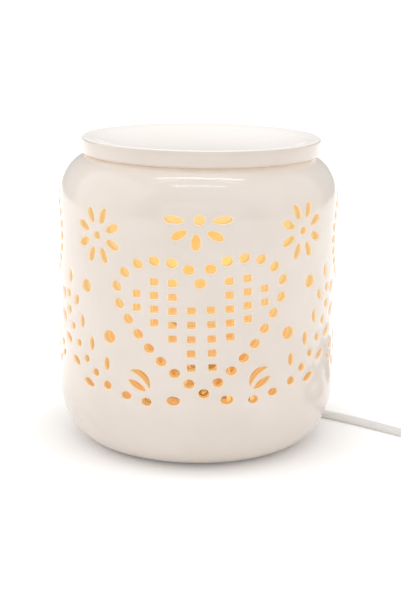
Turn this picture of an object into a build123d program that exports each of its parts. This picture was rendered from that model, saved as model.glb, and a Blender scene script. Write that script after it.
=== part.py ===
from build123d import *
import math
import os

# Electric essential oil burner: a pierced ceramic jar with a lamp inside and a lift-off dish on top.
# Millimetres, +Z up, the front of the jar faces -Y.
# The origin is on the table, under the middle of the jar.

os.makedirs("parts", exist_ok=True)

# Jar
jar_diameter = 130.0
jar_height = 132.8
jar_wall = 4.5
jar_lift = 1.0                # gap between the foot ring and the table
foot_ring_diameter = 95.8
foot_ring_width = 6.4
foot_ring_depth = 4.2
floor_thickness = 5.0
floor_opening_diameter = 68.0
corner_height = 29.0
shoulder_height = 22.5
mouth_outer_diameter = 97.6
mouth_diameter = 90.0
mouth_edge_radius = 1.2
cord_hole_diameter = 10.0
cord_height = 16.0            # axis of the cord hole above the table

# Ornament pierced through the jar's wall
dot_width = 4.9
dot_height = 4.1
square_width = 3.75
square_height = 3.1
square_pitch = 8.1
square_shift = 1.65           # the columns of squares stand this far to the right
square_lean_right = 2.2       # degrees, anticlockwise, columns right of the middle
square_lean_left = 0.5        # degrees, anticlockwise, columns left of the middle
petal_length = 7.2
petal_width = 3.6
petal_inner_share = 0.57      # how much of a petal lies inside its widest place
flower_radius = 9.2
flower_dot_share = 0.84
leaf_length = 6.6
leaf_width = 3.2
crescent_length = 11.6
crescent_width = 3.0
crescent_sag = 1.1
medallion_radius = 22.5
medallion_dot_diameter = 3.5
ornament_shift = 1.3          # the hand-cut ornament stands this far to the right
flower_shift = 2.8            # and its two whole flowers this far
ornament_lean = 1.6           # degrees, anticlockwise
heart_lean = 2.6              # degrees, anticlockwise
heart_level_reach = 10.0      # the heart's dots lie level this near to its middle
heart_dot_turn = 1.35         # degrees that a dot turns for each millimetre beyond that
heart_dots = 14               # steps between dots along half of the heart
medallion_dots = 26

# Dish
dish_diameter = 109.8
dish_rim_height = 7.5
dish_lip_width = 4.0
dish_depth = 10.6
dish_wall = 4.0
dish_edge_radius = 1.1
dish_offset = 1.0             # the dish sits this far right of the jar's axis
spigot_clearance = 1.8
spigot_wall = 2.8
spigot_depth = 4.5
seat_gap = 0.3

# Base plate and feet
plate_clearance = 0.5
plate_thickness = 2.5
vent_length = 12.0
vent_width = 2.2
vent_circle_radius = 20.0
vent_count = 9
vent_step = 18.0              # degrees
foot_diameter = 11.0
foot_circle_radius = 34.0
foot_count = 4

# Clamping bar across the floor opening
bar_overlap = 5.0
bar_width = 12.0
bar_thickness = 1.5
bar_corner = 1.5
pad_length = 4.2
pad_thickness = 0.8
clamp_screw_diameter = 4.0
clamp_screw_spacing = 44.0
clamp_head_diameter = 8.0
clamp_head_height = 2.3
clamp_nut_width = 7.0
clamp_nut_height = 3.2
clamp_thread_end = 1.2
screw_slot_width = 0.8
screw_clearance = 0.2

# Lamp bracket
bracket_width = 25.0
bracket_thickness = 1.2
bracket_span = 32.0
bracket_flange = 13.0
lamp_rise_share = 0.52        # how the height left free by the lamp splits below and above it
lead_hole_diameter = 3.0

# Lampholder
holder_diameter = 27.0
holder_height = 14.5
holder_roof = 2.8
holder_edge = 1.5
holder_plate_thickness = 1.5
holder_screw_spacing = 19.0
holder_screw_diameter = 3.0
holder_screw_reach = 8.0
holder_head_diameter = 5.4
holder_head_height = 2.0
fit_clearance = 0.05
slot_clearance = 0.4
channel_clearance = 0.5
contact_width = 4.2
contact_depth = 4.0
contact_thickness = 0.5
contact_gap = 0.3

# Lamp
stud_spacing = 10.0
stud_diameter = 3.0
stud_head_diameter = 4.8
stud_head_height = 1.8
stud_neck = 3.2               # from the cap's underside to the head's top
cap_gap = 0.3
cap_diameter = 23.0
cap_top_diameter = 27.0
cap_height = 17.0
cap_neck_height = 7.6
cap_edge = 0.3
lamp_diameter = 50.0
lamp_length = 51.0
reflector_wall = 1.5
lens_thickness = 2.0
lens_rise = 0.8               # the dome's height over the lens's edge
lens_ledge = 1.6
capsule_diameter = 9.0
capsule_height = 17.0
capsule_seat_depth = 3.0
lamp_unlock_angle = 25.0      # degrees

# Terminal block
block_width = 20.0
block_depth = 12.0
block_height = 17.0
core_run = 5.5                # from the sheath's end to the block
block_corner = 1.0
sleeve_diameter = 4.6
sleeve_bore = 2.6
pole_spacing = 7.0
pole_screw_diameter = 2.5
pole_screw_recess = 1.4       # the grub screws stand this far below the block's top

# Cord
cord_diameter = 4.0
core_diameter = 1.8
core_spacing = 1.9
lead_diameter = 2.2
sheath_overhang = 0.5         # the sheath ends this far in front of the cord clamp

# Cord clamp
clamp_width = 21.0
clamp_depth = 6.0
clamp_clearance = 0.3         # from the clamp's corners to the edge of the floor opening
clamp_saddle_height = 5.0
clamp_split = 0.6
saddle_screw_spacing = 15.0
saddle_screw_diameter = 2.8
saddle_head_diameter = 5.2
saddle_head_height = 1.8

# Grommet
grommet_flange_diameter = 15.0
grommet_flange_thickness = 1.6
grommet_inner_end = 53.0
grommet_outer_end = 82.0
grommet_root_diameter = 9.2
grommet_tip_diameter = 6.4

# Put-away coil
coil_outer_radius = 31.0
coil_pitch = 4.5
coil_turns_per_layer = 3
coil_x = 138.5
coil_y = 4.4

# In-line switch
switch_length = 52.0
switch_width = 22.0
switch_height = 13.0
switch_split = 5.6            # top of the lower shell above the table
switch_wall = 1.8
switch_corner = 6.0
switch_edge = 1.6
switch_x = 176.5
switch_y = 68.0
switch_cord_height = 5.5
rocker_width = 8.0
rocker_length = 16.0
rocker_proud = 1.5
rocker_drop = 4.6
rocker_gap = 0.4
rocker_tilt = 7.0             # degrees each side of level
rocker_pin_diameter = 2.4
rocker_pin_length = 1.6
rocker_pin_clearance = 0.05
switch_screw_diameter = 2.5
switch_screw_head_diameter = 4.6
switch_screw_head_height = 1.5
switch_screw_spacing = 38.0
switch_post_diameter = 5.4
switch_strip_width = 3.0
switch_strip_thickness = 0.6
switch_strip_length = 10.0

# Plug
plug_width = 35.3
plug_rear_width = 15.0
plug_thickness = 13.7
plug_length = 36.0
plug_front_length = 10.8      # the straight sides behind the pin face
plug_corner = 4.0
plug_edge = 1.5
plug_x = 131.5
plug_rear_y = 94.5
pin_diameter = 4.0
pin_length = 19.0
pin_root = 8.0
pin_spacing = 18.6
pin_sleeve_length = 10.0
pin_core_diameter = 3.0        # under the sleeves and in the plug
pin_tip_radius = 1.2

# How far a cutter runs past what it cuts
overrun = 1.0

# Sizes that follow from the ones above
jar_radius = jar_diameter / 2
quarter_turn = math.pi * jar_radius / 2
foot_radius = foot_ring_diameter / 2
mouth_outer_radius = mouth_outer_diameter / 2
mouth_radius = mouth_diameter / 2
ring_z = jar_lift
floor_under_z = ring_z + foot_ring_depth
floor_top_z = floor_under_z + floor_thickness
corner_z = ring_z + corner_height
jar_top_z = ring_z + jar_height
shoulder_z = jar_top_z - shoulder_height
plate_radius = foot_radius - foot_ring_width - plate_clearance
plate_under_z = floor_under_z - plate_thickness
bar_z = floor_top_z + pad_thickness
bar_top_z = bar_z + bar_thickness
flange_top_z = bar_top_z + bracket_thickness
dish_seat_z = jar_top_z + seat_gap
dish_top_z = dish_seat_z + dish_rim_height
dish_under_z = dish_top_z - dish_depth - dish_wall
stack_height = (bracket_thickness + holder_plate_thickness + holder_height + cap_gap
                + lamp_length + lens_rise)
free_height = dish_under_z - bar_top_z - stack_height
bracket_top_z = bar_top_z + free_height * lamp_rise_share + bracket_thickness
holder_z = bracket_top_z + holder_plate_thickness
holder_top_z = holder_z + holder_height
cap_z = holder_top_z + cap_gap
cap_top_z = cap_z + cap_height
lamp_top_z = cap_z + lamp_length
stud_head_top_z = cap_z - stud_neck
stud_head_z = stud_head_top_z - stud_head_height
contact_top_z = stud_head_z - contact_gap
cord_radius = cord_diameter / 2
clamp_reach = floor_opening_diameter / 2 - clamp_clearance
clamp_back = math.sqrt(clamp_reach ** 2 - (clamp_width / 2) ** 2)
clamp_front = clamp_back - clamp_depth
sheath_end = clamp_front - sheath_overhang
block_back = sheath_end - core_run
coil_layer_rise = coil_pitch


def save(name, *pieces):
    """Write one node, which may hold several like pieces."""
    solids = [solid for piece in pieces for solid in piece.solids()]
    export_step(Compound(solids), f"parts/{name}.step")


def box_between(x, y, z):
    """A box from its lowest and highest X, Y and Z."""
    sizes = [high - low for low, high in (x, y, z)]
    middle = [(high + low) / 2 for low, high in (x, y, z)]
    return Pos(*middle) * Box(*sizes)


def post(x, y, low, high, radius):
    """An upright cylinder between two heights."""
    return Pos(x, y, (low + high) / 2) * Cylinder(radius, high - low)


def rod_along_y(x, z, low, high, radius):
    """A cylinder along Y between two places."""
    turn = Rot(X=90)
    return Pos(x, (low + high) / 2, z) * turn * Cylinder(radius, high - low)


def turned(outline):
    """A solid turned about Z from edges in the XZ plane."""
    return revolve(make_face(outline), axis=Axis.Z)


def flat_line(*points):
    """Straight edges in the XZ plane from (radius, height) points."""
    return Polyline(*[(r, 0, z) for r, z in points])


def curve_xz(centre, x_radius, y_radius, start, end):
    """Part of an ellipse or circle in the XZ plane, its angles in degrees from +X towards +Z."""
    if x_radius == y_radius:
        edge = CenterArc((0, 0), x_radius, start, end - start)
    else:
        edge = EllipticalCenterArc((0, 0), x_radius, y_radius, start, arc_size=end - start)
    return Pos(centre[0], 0, centre[1]) * Rot(X=90) * edge


def bead(path_points, radii, radius):
    """A round tube along straight runs joined by tangent arcs."""
    path = FilletPolyline(*path_points, radius=radii)
    start = path @ 0
    section = Plane(origin=start, z_dir=path % 0) * Circle(radius)
    return sweep(section, path=path)


def arc_radii(points):
    """The largest arc that suits each inner point of a route: 0.45 of its shorter run over tan(half turn)."""
    reach_share = 0.45
    vectors = [Vector(*p) for p in points]
    radii = []
    for before, here, after in zip(vectors, vectors[1:], vectors[2:]):
        came = here - before
        goes = after - here
        half_turn = math.radians(came.get_angle(goes)) / 2
        shorter = min(came.length, goes.length)
        radii.append(reach_share * shorter / math.tan(half_turn))
    return radii


# Jar


def jar_block(grow=0.0):
    """The jar's outer form as one solid, grown by a skin thickness where asked."""
    top_z = jar_top_z + grow
    outline = [
        flat_line((0, top_z), (0, ring_z - grow), (foot_radius, ring_z - grow)),
        curve_xz((foot_radius, corner_z), jar_radius - foot_radius + grow,
                 corner_height + grow, 270, 360),
        flat_line((jar_radius + grow, corner_z), (jar_radius + grow, shoulder_z)),
        curve_xz((mouth_outer_radius, shoulder_z), jar_radius - mouth_outer_radius + grow,
                 shoulder_height + grow, 0, 90),
        flat_line((mouth_outer_radius, top_z), (0, top_z)),
    ]
    return turned(outline)


def jar_hollow():
    """The space inside the jar, with its mouth and the opening in its floor."""
    inner_radius = jar_radius - jar_wall
    inner_corner = inner_radius - foot_radius
    inner_shoulder = inner_radius - mouth_outer_radius
    ceiling_z = jar_top_z - jar_wall
    edge = mouth_edge_radius
    outline = [
        flat_line((0, floor_top_z), (foot_radius, floor_top_z)),
        curve_xz((foot_radius, corner_z), inner_corner, corner_z - floor_top_z, 270, 360),
        flat_line((inner_radius, corner_z), (inner_radius, shoulder_z)),
        curve_xz((mouth_outer_radius, shoulder_z), inner_shoulder, ceiling_z - shoulder_z, 0, 90),
        flat_line((mouth_outer_radius, ceiling_z), (mouth_radius, ceiling_z),
                  (mouth_radius, jar_top_z - edge)),
        curve_xz((mouth_radius + edge, jar_top_z - edge), edge, edge, 90, 180),
        flat_line((mouth_radius + edge, jar_top_z), (mouth_radius + edge, jar_top_z + overrun),
                  (0, jar_top_z + overrun), (0, floor_top_z)),
    ]
    opening = post(0, 0, floor_under_z - overrun, floor_top_z + overrun, floor_opening_diameter / 2)
    recess = post(0, 0, ring_z - overrun, floor_under_z, foot_radius - foot_ring_width)
    return turned(outline), opening, recess


# Ornament. Places are shares: of the quarter turn from the front to the side, and of the jar's height.

heart_shares = [(0.000, 0.646), (0.046, 0.692), (0.118, 0.714), (0.288, 0.702), (0.376, 0.620),
                (0.322, 0.525), (0.178, 0.389), (0.000, 0.280)]
heart_pivot_share = 0.660
panel_pivot_share = 0.450

# Squares inside the heart: for each column from the middle, its top, its step down and its squares.
square_column_shares = [(0.558, 0.0476, 5), (0.649, 0.0459, 5), (0.653, 0.0449, 4), (0.612, 0.0456, 2)]

# Round and oval holes: place, then width and height as shares of the dot.
stem_shares = [
    (0.115, 0.255, 1.22, 0.98), (0.234, 0.247, 0.96, 0.88), (0.330, 0.261, 1.02, 0.86),
    (0.429, 0.285, 0.92, 0.92), (0.496, 0.320, 0.82, 0.86), (0.556, 0.359, 0.76, 0.84),
    (0.612, 0.405, 0.72, 0.84), (0.660, 0.456, 0.72, 0.84), (0.695, 0.509, 0.74, 0.86),
    (0.699, 0.565, 0.74, 0.86), (0.546, 0.609, 1.28, 1.40), (0.411, 0.452, 1.28, 1.40),
]

# Leaves: place, tilt in degrees from level, length and width as shares of the leaf.
leaf_shares = [
    (0.428, 0.359, 90, 1.00, 0.95), (0.517, 0.417, 90, 1.05, 1.00), (0.582, 0.484, 92, 1.00, 1.00),
    (0.625, 0.551, 118, 0.85, 1.05), (0.677, 0.626, 92, 0.95, 0.95),
    (0.543, 0.279, 16, 1.15, 1.05), (0.637, 0.341, 26, 1.05, 1.05), (0.705, 0.409, 35, 1.05, 1.00),
    (0.754, 0.480, 54, 1.00, 0.95), (0.754, 0.560, 62, 0.90, 0.90), (0.276, 0.300, 28, 1.52, 0.98),
]
crescent_share = (0.263, 0.320, 40)

# The half flower over the heart: its middle, then each petal's place from that middle, its turn in
# degrees, and its length and width as shares of the petal.
half_flower_share = (0.007, 0.8495)
half_petal_shares = [(0.098, 0.000, 5, 1.15, 0.88), (-0.107, 0.000, 175, 1.15, 0.88),
                     (-0.084, -0.048, 207, 0.99, 0.98), (0.068, -0.050, 335, 1.03, 1.00),
                     (-0.013, -0.071, 268, 0.95, 1.11)]
flower_share = (0.482, 0.785)
medallion_height_share = 0.734

# The small spray under each side medallion, mirrored about the side's middle.
side_dot_shares = [(0.941, 0.311), (0.862, 0.339), (0.775, 0.364)]
side_leaf_shares = [(0.839, 0.385, 90), (0.922, 0.358, 90), (0.759, 0.328, 148),
                    (0.816, 0.299, 128), (0.902, 0.271, 112)]
side_size_share = 0.75


def dot_face(width, height):
    return Ellipse(width / 2, height / 2)


def petal_face(length, width):
    """An egg whose narrower end is at -X: two half ellipses that meet where it is widest."""
    inner = length * petal_inner_share
    outer = length - inner
    widest = (inner - length / 2, 0)
    outer_half = EllipticalCenterArc(widest, outer, width / 2, -90, arc_size=180)
    inner_half = EllipticalCenterArc(widest, inner, width / 2, 90, arc_size=180)
    return make_face([outer_half, inner_half])


def leaf_face(length, width):
    """A leaf pointed at both ends, along X."""
    upper = ThreePointArc((-length / 2, 0), (0, width / 2), (length / 2, 0))
    lower = ThreePointArc((-length / 2, 0), (0, -width / 2), (length / 2, 0))
    return make_face([upper, lower])


def crescent_face(length, width, sag):
    """A new moon along X whose outer side faces +Y."""
    outer = ThreePointArc((-length / 2, 0), (0, sag + width), (length / 2, 0))
    inner = ThreePointArc((-length / 2, 0), (0, sag), (length / 2, 0))
    return make_face([outer, inner])


def through_wall(face, along, z, spin=0.0, panel=0.0):
    """A cutter with the face's outline, pushed through the wall at an arc length from the panel's middle."""
    inner = jar_radius - 3 * jar_wall
    angle = math.radians(panel) + along / jar_radius
    outward = (math.sin(angle), -math.cos(angle), 0)
    sideways = (math.cos(angle), math.sin(angle), 0)
    origin = (inner * outward[0], inner * outward[1], z)
    place = Plane(origin=origin, x_dir=sideways, z_dir=outward)
    cutter = extrude(face, amount=4 * jar_wall)
    return place * Rot(Z=spin) * cutter


def leaned(share, pivot_share, lean, shift=ornament_shift):
    """An arc length and a height from a pair of shares, turned with the hand-cut ornament."""
    across = share[0] * quarter_turn
    up = (share[1] - pivot_share) * jar_height
    turn = math.radians(lean)
    along = across * math.cos(turn) - up * math.sin(turn) + shift
    height = pivot_share * jar_height + across * math.sin(turn) + up * math.cos(turn) + ring_z
    return along, height


def both_sides(share):
    """A place and its mirror image, with the side as +1 or -1."""
    return [(1, (share[0], share[1])), (-1, (-share[0], share[1]))]


def heart_cutters():
    """Dots along the heart's outline, evenly spaced, and the squares inside it."""
    points = [(s * quarter_turn, z * jar_height) for s, z in heart_shares]
    half = Spline(*points)
    dot = dot_face(dot_width, dot_height)
    cutters = []
    for step in range(heart_dots + 1):
        place = half @ (step / heart_dots)
        share = (place.X / quarter_turn, place.Y / jar_height)
        turn = heart_dot_turn * max(0, place.X - heart_level_reach)
        for side, mirrored in both_sides(share):
            if side > 0 or 0 < step < heart_dots:
                along, z = leaned(mirrored, heart_pivot_share, heart_lean)
                cutters.append(through_wall(dot, along, z, side * turn))
    return cutters + square_cutters()


def square_cutters():
    """The columns of squares inside the heart. Those on the right lean more than those on the left."""
    square = Rectangle(square_width, square_height)
    rise = math.sin(math.radians(heart_lean))
    cutters = []
    for column, (top, step_down, count) in enumerate(square_column_shares):
        for row in range(count):
            up = (top - row * step_down - heart_pivot_share) * jar_height
            for side, lean in ((1, square_lean_right), (-1, square_lean_left)):
                across = side * (column + 0.5) * square_pitch
                along = across + square_shift - up * math.sin(math.radians(lean))
                z = ring_z + heart_pivot_share * jar_height + up + across * rise
                cutters.append(through_wall(square, along, z, heart_lean))
    return cutters


def ring_petals(first_angle):
    """Eight petals round a flower: for each its offset, its turn, and its size as shares."""
    petals = []
    for k in range(8):
        angle = first_angle + 45 * k
        turn = math.radians(angle)
        petals.append((flower_radius * math.cos(turn), flower_radius * math.sin(turn), angle, 1, 1))
    return petals


def flower_cutters(along, z, petals, panel, dot_share):
    """A centre dot with petals around it."""
    dot = dot_face(dot_share * dot_width, dot_share * dot_height)
    cutters = [through_wall(dot, along, z, 0, panel)]
    for across, up, spin, long, wide in petals:
        petal = petal_face(long * petal_length, wide * petal_width)
        cutters.append(through_wall(petal, along + across, z + up, spin, panel))
    return cutters


def spray_cutters():
    """The stem of dots, the leaves and the crescents on both sides of the heart."""
    cutters = []
    for s, z_share, wide, high in stem_shares:
        face = dot_face(wide * dot_width, high * dot_height)
        for side, mirrored in both_sides((s, z_share)):
            along, z = leaned(mirrored, panel_pivot_share, ornament_lean)
            cutters.append(through_wall(face, along, z))
    for s, z_share, tilt, long, wide in leaf_shares:
        face = leaf_face(long * leaf_length, wide * leaf_width)
        for side, mirrored in both_sides((s, z_share)):
            along, z = leaned(mirrored, panel_pivot_share, ornament_lean)
            cutters.append(through_wall(face, along, z, side * tilt + ornament_lean))
    s, z_share, tilt = crescent_share
    face = crescent_face(crescent_length, crescent_width, crescent_sag)
    for side, mirrored in both_sides((s, z_share)):
        along, z = leaned(mirrored, panel_pivot_share, ornament_lean)
        cutters.append(through_wall(face, along, z, side * tilt + ornament_lean))
    return cutters


def front_cutters():
    """The heart with its half flower, two whole flowers and sprays."""
    half_petals = [(s * quarter_turn, z_share * jar_height, turn, long, wide)
                   for s, z_share, turn, long, wide in half_petal_shares]
    cutters = heart_cutters() + spray_cutters()
    cutters += flower_cutters(half_flower_share[0] * quarter_turn,
                              ring_z + half_flower_share[1] * jar_height, half_petals, 0, 1)
    petals = ring_petals(22.5 + ornament_lean)
    for side, mirrored in both_sides(flower_share):
        along, z = leaned(mirrored, panel_pivot_share, ornament_lean, flower_shift)
        cutters += flower_cutters(along, z, petals, 0, flower_dot_share)
    return cutters


def side_cutters(panel):
    """A flower in a ring of dots at one side, and half of the small spray on each side of its middle."""
    middle_z = ring_z + medallion_height_share * jar_height
    cutters = flower_cutters(0, middle_z, ring_petals(0), panel, flower_dot_share)
    small = dot_face(medallion_dot_diameter, medallion_dot_diameter)
    for k in range(medallion_dots):
        turn = 2 * math.pi * k / medallion_dots
        cutters.append(through_wall(small, medallion_radius * math.cos(turn),
                                    middle_z + medallion_radius * math.sin(turn), 0, panel))
    dot = dot_face(side_size_share * dot_width, side_size_share * dot_height)
    for s, z_share in side_dot_shares:
        for side, mirrored in both_sides((1 - s, z_share)):
            cutters.append(through_wall(dot, mirrored[0] * quarter_turn,
                                        ring_z + z_share * jar_height, 0, panel))
    leaf = leaf_face(side_size_share * leaf_length, side_size_share * leaf_width)
    for s, z_share, tilt in side_leaf_shares:
        for side, mirrored in both_sides((1 - s, z_share)):
            cutters.append(through_wall(leaf, mirrored[0] * quarter_turn,
                                        ring_z + z_share * jar_height, -side * tilt, panel))
    return cutters


def ceramic_body():
    """The pierced jar: wall, shoulder, floor with its opening, foot ring and cord hole. Its back is plain."""
    cutters = front_cutters()
    for panel in (90, 270):
        cutters += side_cutters(panel)
    cord_hole = rod_along_y(0, cord_height, grommet_inner_end - jar_wall, jar_radius + overrun,
                            cord_hole_diameter / 2)
    hollow = jar_hollow()
    jar = jar_block() - hollow[0] - hollow[1] - hollow[2]
    return jar - [*cutters, cord_hole]


def oil_dish():
    """A shallow dish with an upright rim and a ring below that locates it in the jar's mouth."""
    rim = dish_diameter / 2
    edge = dish_edge_radius
    bowl_radius = rim - dish_lip_width
    bowl_z = dish_top_z - dish_depth
    sphere = (bowl_radius ** 2 + dish_depth ** 2) / (2 * dish_depth)
    centre_z = bowl_z + sphere
    spigot = mouth_radius - spigot_clearance
    spigot_inner = spigot - spigot_wall
    spigot_z = dish_seat_z - spigot_depth
    under = sphere + dish_wall
    under_z = centre_z - math.sqrt(under ** 2 - spigot_inner ** 2)
    middle_r = bowl_radius / 2
    middle_z = centre_z - math.sqrt(sphere ** 2 - middle_r ** 2)
    half_r = spigot_inner / 2
    half_z = centre_z - math.sqrt(under ** 2 - half_r ** 2)
    outline = [
        flat_line((0, centre_z - under), (0, bowl_z)),
        ThreePointArc((0, 0, bowl_z), (middle_r, 0, middle_z), (bowl_radius, 0, dish_top_z)),
        flat_line((bowl_radius, dish_top_z), (rim - edge, dish_top_z)),
        curve_xz((rim - edge, dish_top_z - edge), edge, edge, 0, 90),
        flat_line((rim, dish_top_z - edge), (rim, dish_seat_z + edge)),
        curve_xz((rim - edge, dish_seat_z + edge), edge, edge, 270, 360),
        flat_line((rim - edge, dish_seat_z), (spigot, dish_seat_z), (spigot, spigot_z),
                  (spigot_inner, spigot_z), (spigot_inner, under_z)),
        ThreePointArc((spigot_inner, 0, under_z), (half_r, 0, half_z), (0, 0, centre_z - under)),
    ]
    return Pos(dish_offset, 0, 0) * turned(outline)


# Base


def clamp_places():
    return [-clamp_screw_spacing / 2, clamp_screw_spacing / 2]


def base_plate():
    """The moulded plate under the jar's floor, with vent slots and screw holes."""
    plate = post(0, 0, plate_under_z, floor_under_z, plate_radius)
    low, high = plate_under_z - overrun, floor_under_z + overrun
    holes = [post(x, 0, low, high, clamp_screw_diameter / 2 + screw_clearance) for x in clamp_places()]
    saddle_y = clamp_back - clamp_depth / 2
    for side in (-1, 1):
        holes.append(post(side * saddle_screw_spacing / 2, saddle_y, low, high,
                          saddle_screw_diameter / 2 + fit_clearance))
    slot = extrude(SlotOverall(vent_length, vent_width), amount=high - low)
    first = 270 - vent_step * (vent_count - 1) / 2
    for k in range(vent_count):
        holes.append(Rot(Z=first + k * vent_step) * Pos(vent_circle_radius, 0, low) * slot)
    return plate - holes


def rubber_feet():
    places = PolarLocations(foot_circle_radius, foot_count, 45)
    foot = post(0, 0, 0, plate_under_z, foot_diameter / 2)
    return [place * foot for place in places]


def retaining_bar():
    """The steel strap that lies across the opening, over the jar's floor."""
    half = floor_opening_diameter / 2 + bar_overlap
    bar = box_between((-half, half), (-bar_width / 2, bar_width / 2), (bar_z, bar_top_z))
    bar = fillet(bar.edges().filter_by(Axis.Z), bar_corner)
    holes = [post(x, 0, bar_z - overrun, bar_top_z + overrun,
                  clamp_screw_diameter / 2 + screw_clearance) for x in clamp_places()]
    return bar - holes


def bar_pads():
    """Fibre pads between the strap's ends and the glazed floor."""
    outer = floor_opening_diameter / 2 + bar_overlap
    pads = []
    for side in (-1, 1):
        ends = sorted((side * (outer - pad_length), side * outer))
        pads.append(box_between(ends, (-bar_width / 2, bar_width / 2), (floor_top_z, bar_z)))
    return pads


def clamp_screws():
    """Two screws, heads below the plate, that pull plate, bar and bracket together."""
    top = flange_top_z + clamp_nut_height + clamp_thread_end
    screws = []
    for x in clamp_places():
        shank = post(x, 0, plate_under_z, top, clamp_screw_diameter / 2)
        head = post(x, 0, plate_under_z - clamp_head_height, plate_under_z, clamp_head_diameter / 2)
        under_z = plate_under_z - clamp_head_height
        slot = box_between((x - clamp_head_diameter, x + clamp_head_diameter),
                           (-screw_slot_width / 2, screw_slot_width / 2),
                           (under_z - overrun, under_z + clamp_head_height / 2))
        screws.append(shank + head - slot)
    return screws


def clamp_nuts():
    nuts = []
    for x in clamp_places():
        nut = extrude(RegularPolygon(clamp_nut_width / 2, 6, major_radius=False), amount=clamp_nut_height)
        bore = post(0, 0, -overrun, clamp_nut_height + overrun, clamp_screw_diameter / 2 + fit_clearance)
        nuts.append(Pos(x, 0, flange_top_z) * (nut - bore))
    return nuts


def lead_places():
    """Where the two lamp leads leave the holder: under each contact's leg."""
    leg_y = -contact_depth / 2 - contact_thickness / 2
    return [(-stud_spacing / 2, leg_y), (stud_spacing / 2, leg_y)]


def lamp_bracket():
    """The bent strip that carries the lampholder above the strap."""
    half = bracket_span / 2
    step = bracket_thickness
    y = (-bracket_width / 2, bracket_width / 2)
    top = box_between((-half, half), y, (bracket_top_z - step, bracket_top_z))
    bracket = top
    for side in (-1, 1):
        leg = sorted((side * (half - step), side * half))
        bracket += box_between(leg, y, (bar_top_z, bracket_top_z))
        flange = sorted((side * (half - step), side * (half - step + bracket_flange)))
        bracket += box_between(flange, y, (bar_top_z, flange_top_z))
    holes = [post(x, 0, bar_top_z - overrun, flange_top_z + overrun,
                  clamp_screw_diameter / 2 + screw_clearance) for x in clamp_places()]
    low, high = bracket_top_z - step - overrun, bracket_top_z + overrun
    for side in (-1, 1):
        holes.append(post(0, side * holder_screw_spacing / 2, low, high,
                          holder_screw_diameter / 2 + screw_clearance))
    for x, y_lead in lead_places():
        holes.append(post(x, y_lead, low, high, lead_hole_diameter / 2))
    return bracket - holes


# Lampholder


def arc_slot(radius, width, first, last, low, high):
    """A curved slot with round ends, between two angles in degrees, about Z."""
    inner = radius - width / 2
    outer = radius + width / 2
    ring = post(0, 0, low, high, outer) - post(0, 0, low - overrun, high + overrun, inner)
    far = outer * 2
    a, b = math.radians(first), math.radians(last)
    wedge_face = make_face(Polyline((0, 0), (far * math.cos(a), far * math.sin(a)),
                                    (far * math.cos(b), far * math.sin(b)), close=True))
    wedge = Pos(0, 0, low) * extrude(wedge_face, amount=high - low)
    slot = ring & wedge
    for angle in (a, b):
        slot += post(radius * math.cos(angle), radius * math.sin(angle), low, high, width / 2)
    return slot


def lampholder():
    """The ceramic holder: key-shaped slots in its roof over wider channels for the stud heads."""
    body = post(0, 0, holder_z, holder_top_z, holder_diameter / 2)
    body = fillet(body.edges().filter_by(GeomType.CIRCLE).group_by(Axis.Z)[-1], holder_edge)
    stud_circle = stud_spacing / 2
    channel = stud_head_diameter + 2 * channel_clearance
    neck = stud_diameter + slot_clearance
    roof_z = holder_top_z - holder_roof
    past = 9.0
    cuts = []
    for half in (0, 180):
        turn = Rot(Z=half)
        cuts.append(turn * arc_slot(stud_circle, channel, -past, lamp_unlock_angle + past,
                                    holder_z - overrun, roof_z))
        cuts.append(turn * arc_slot(stud_circle, neck, -past / 2, lamp_unlock_angle,
                                    roof_z - overrun, holder_top_z + overrun))
        angle = math.radians(lamp_unlock_angle)
        cuts.append(turn * post(stud_circle * math.cos(angle), stud_circle * math.sin(angle),
                                roof_z - overrun, holder_top_z + overrun,
                                stud_head_diameter / 2 + slot_clearance))
    for side in (-1, 1):
        cuts.append(post(0, side * holder_screw_spacing / 2, holder_z - overrun,
                         holder_z + holder_screw_reach, holder_screw_diameter / 2 + fit_clearance))
    return body - cuts


def holder_plate():
    """The insulating plate under the holder, with holes for screws and leads."""
    plate = post(0, 0, bracket_top_z, holder_z, holder_diameter / 2)
    holes = [post(x, y, bracket_top_z - overrun, holder_z + overrun, lead_diameter / 2 + fit_clearance)
             for x, y in lead_places()]
    for side in (-1, 1):
        holes.append(post(0, side * holder_screw_spacing / 2, bracket_top_z - overrun,
                          holder_z + overrun, holder_screw_diameter / 2 + screw_clearance))
    return plate - holes


def holder_screws():
    screws = []
    under = bracket_top_z - bracket_thickness
    for side in (-1, 1):
        y = side * holder_screw_spacing / 2
        shank = post(0, y, under, holder_z + holder_screw_reach - overrun, holder_screw_diameter / 2)
        head = post(0, y, under - holder_head_height, under, holder_head_diameter / 2)
        screws.append(shank + head)
    return screws


def holder_contacts():
    """A flat brass contact under each stud head, on a leg that stands on the insulating plate."""
    contacts = []
    for x, leg_y in lead_places():
        sides = (x - contact_width / 2, x + contact_width / 2)
        back = leg_y + contact_thickness / 2
        plate = box_between(sides, (back - contact_thickness, back + contact_depth),
                            (contact_top_z - contact_thickness, contact_top_z))
        leg = box_between(sides, (back - contact_thickness, back), (holder_z, contact_top_z))
        contacts.append(plate + leg)
    return contacts


# Lamp


def bulb_cap():
    """The lamp's ceramic cap: a waisted block that widens to the reflector."""
    low = cap_diameter / 2
    high = cap_top_diameter / 2
    neck_z = cap_z + cap_neck_height
    seat = capsule_diameter / 2 + fit_clearance
    seat_z = cap_top_z - capsule_seat_depth
    outline = [flat_line((0, cap_z), (low - cap_edge, cap_z), (low, cap_z + cap_edge), (low, neck_z),
                         (high, cap_top_z), (seat, cap_top_z), (seat, seat_z), (0, seat_z), (0, cap_z))]
    return turned(outline)


def bulb_studs():
    studs = []
    for side in (-1, 1):
        x = side * stud_spacing / 2
        neck = post(x, 0, stud_head_top_z, cap_z, stud_diameter / 2)
        head = post(x, 0, stud_head_z, stud_head_top_z, stud_head_diameter / 2)
        studs.append(neck + head)
    return studs


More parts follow.
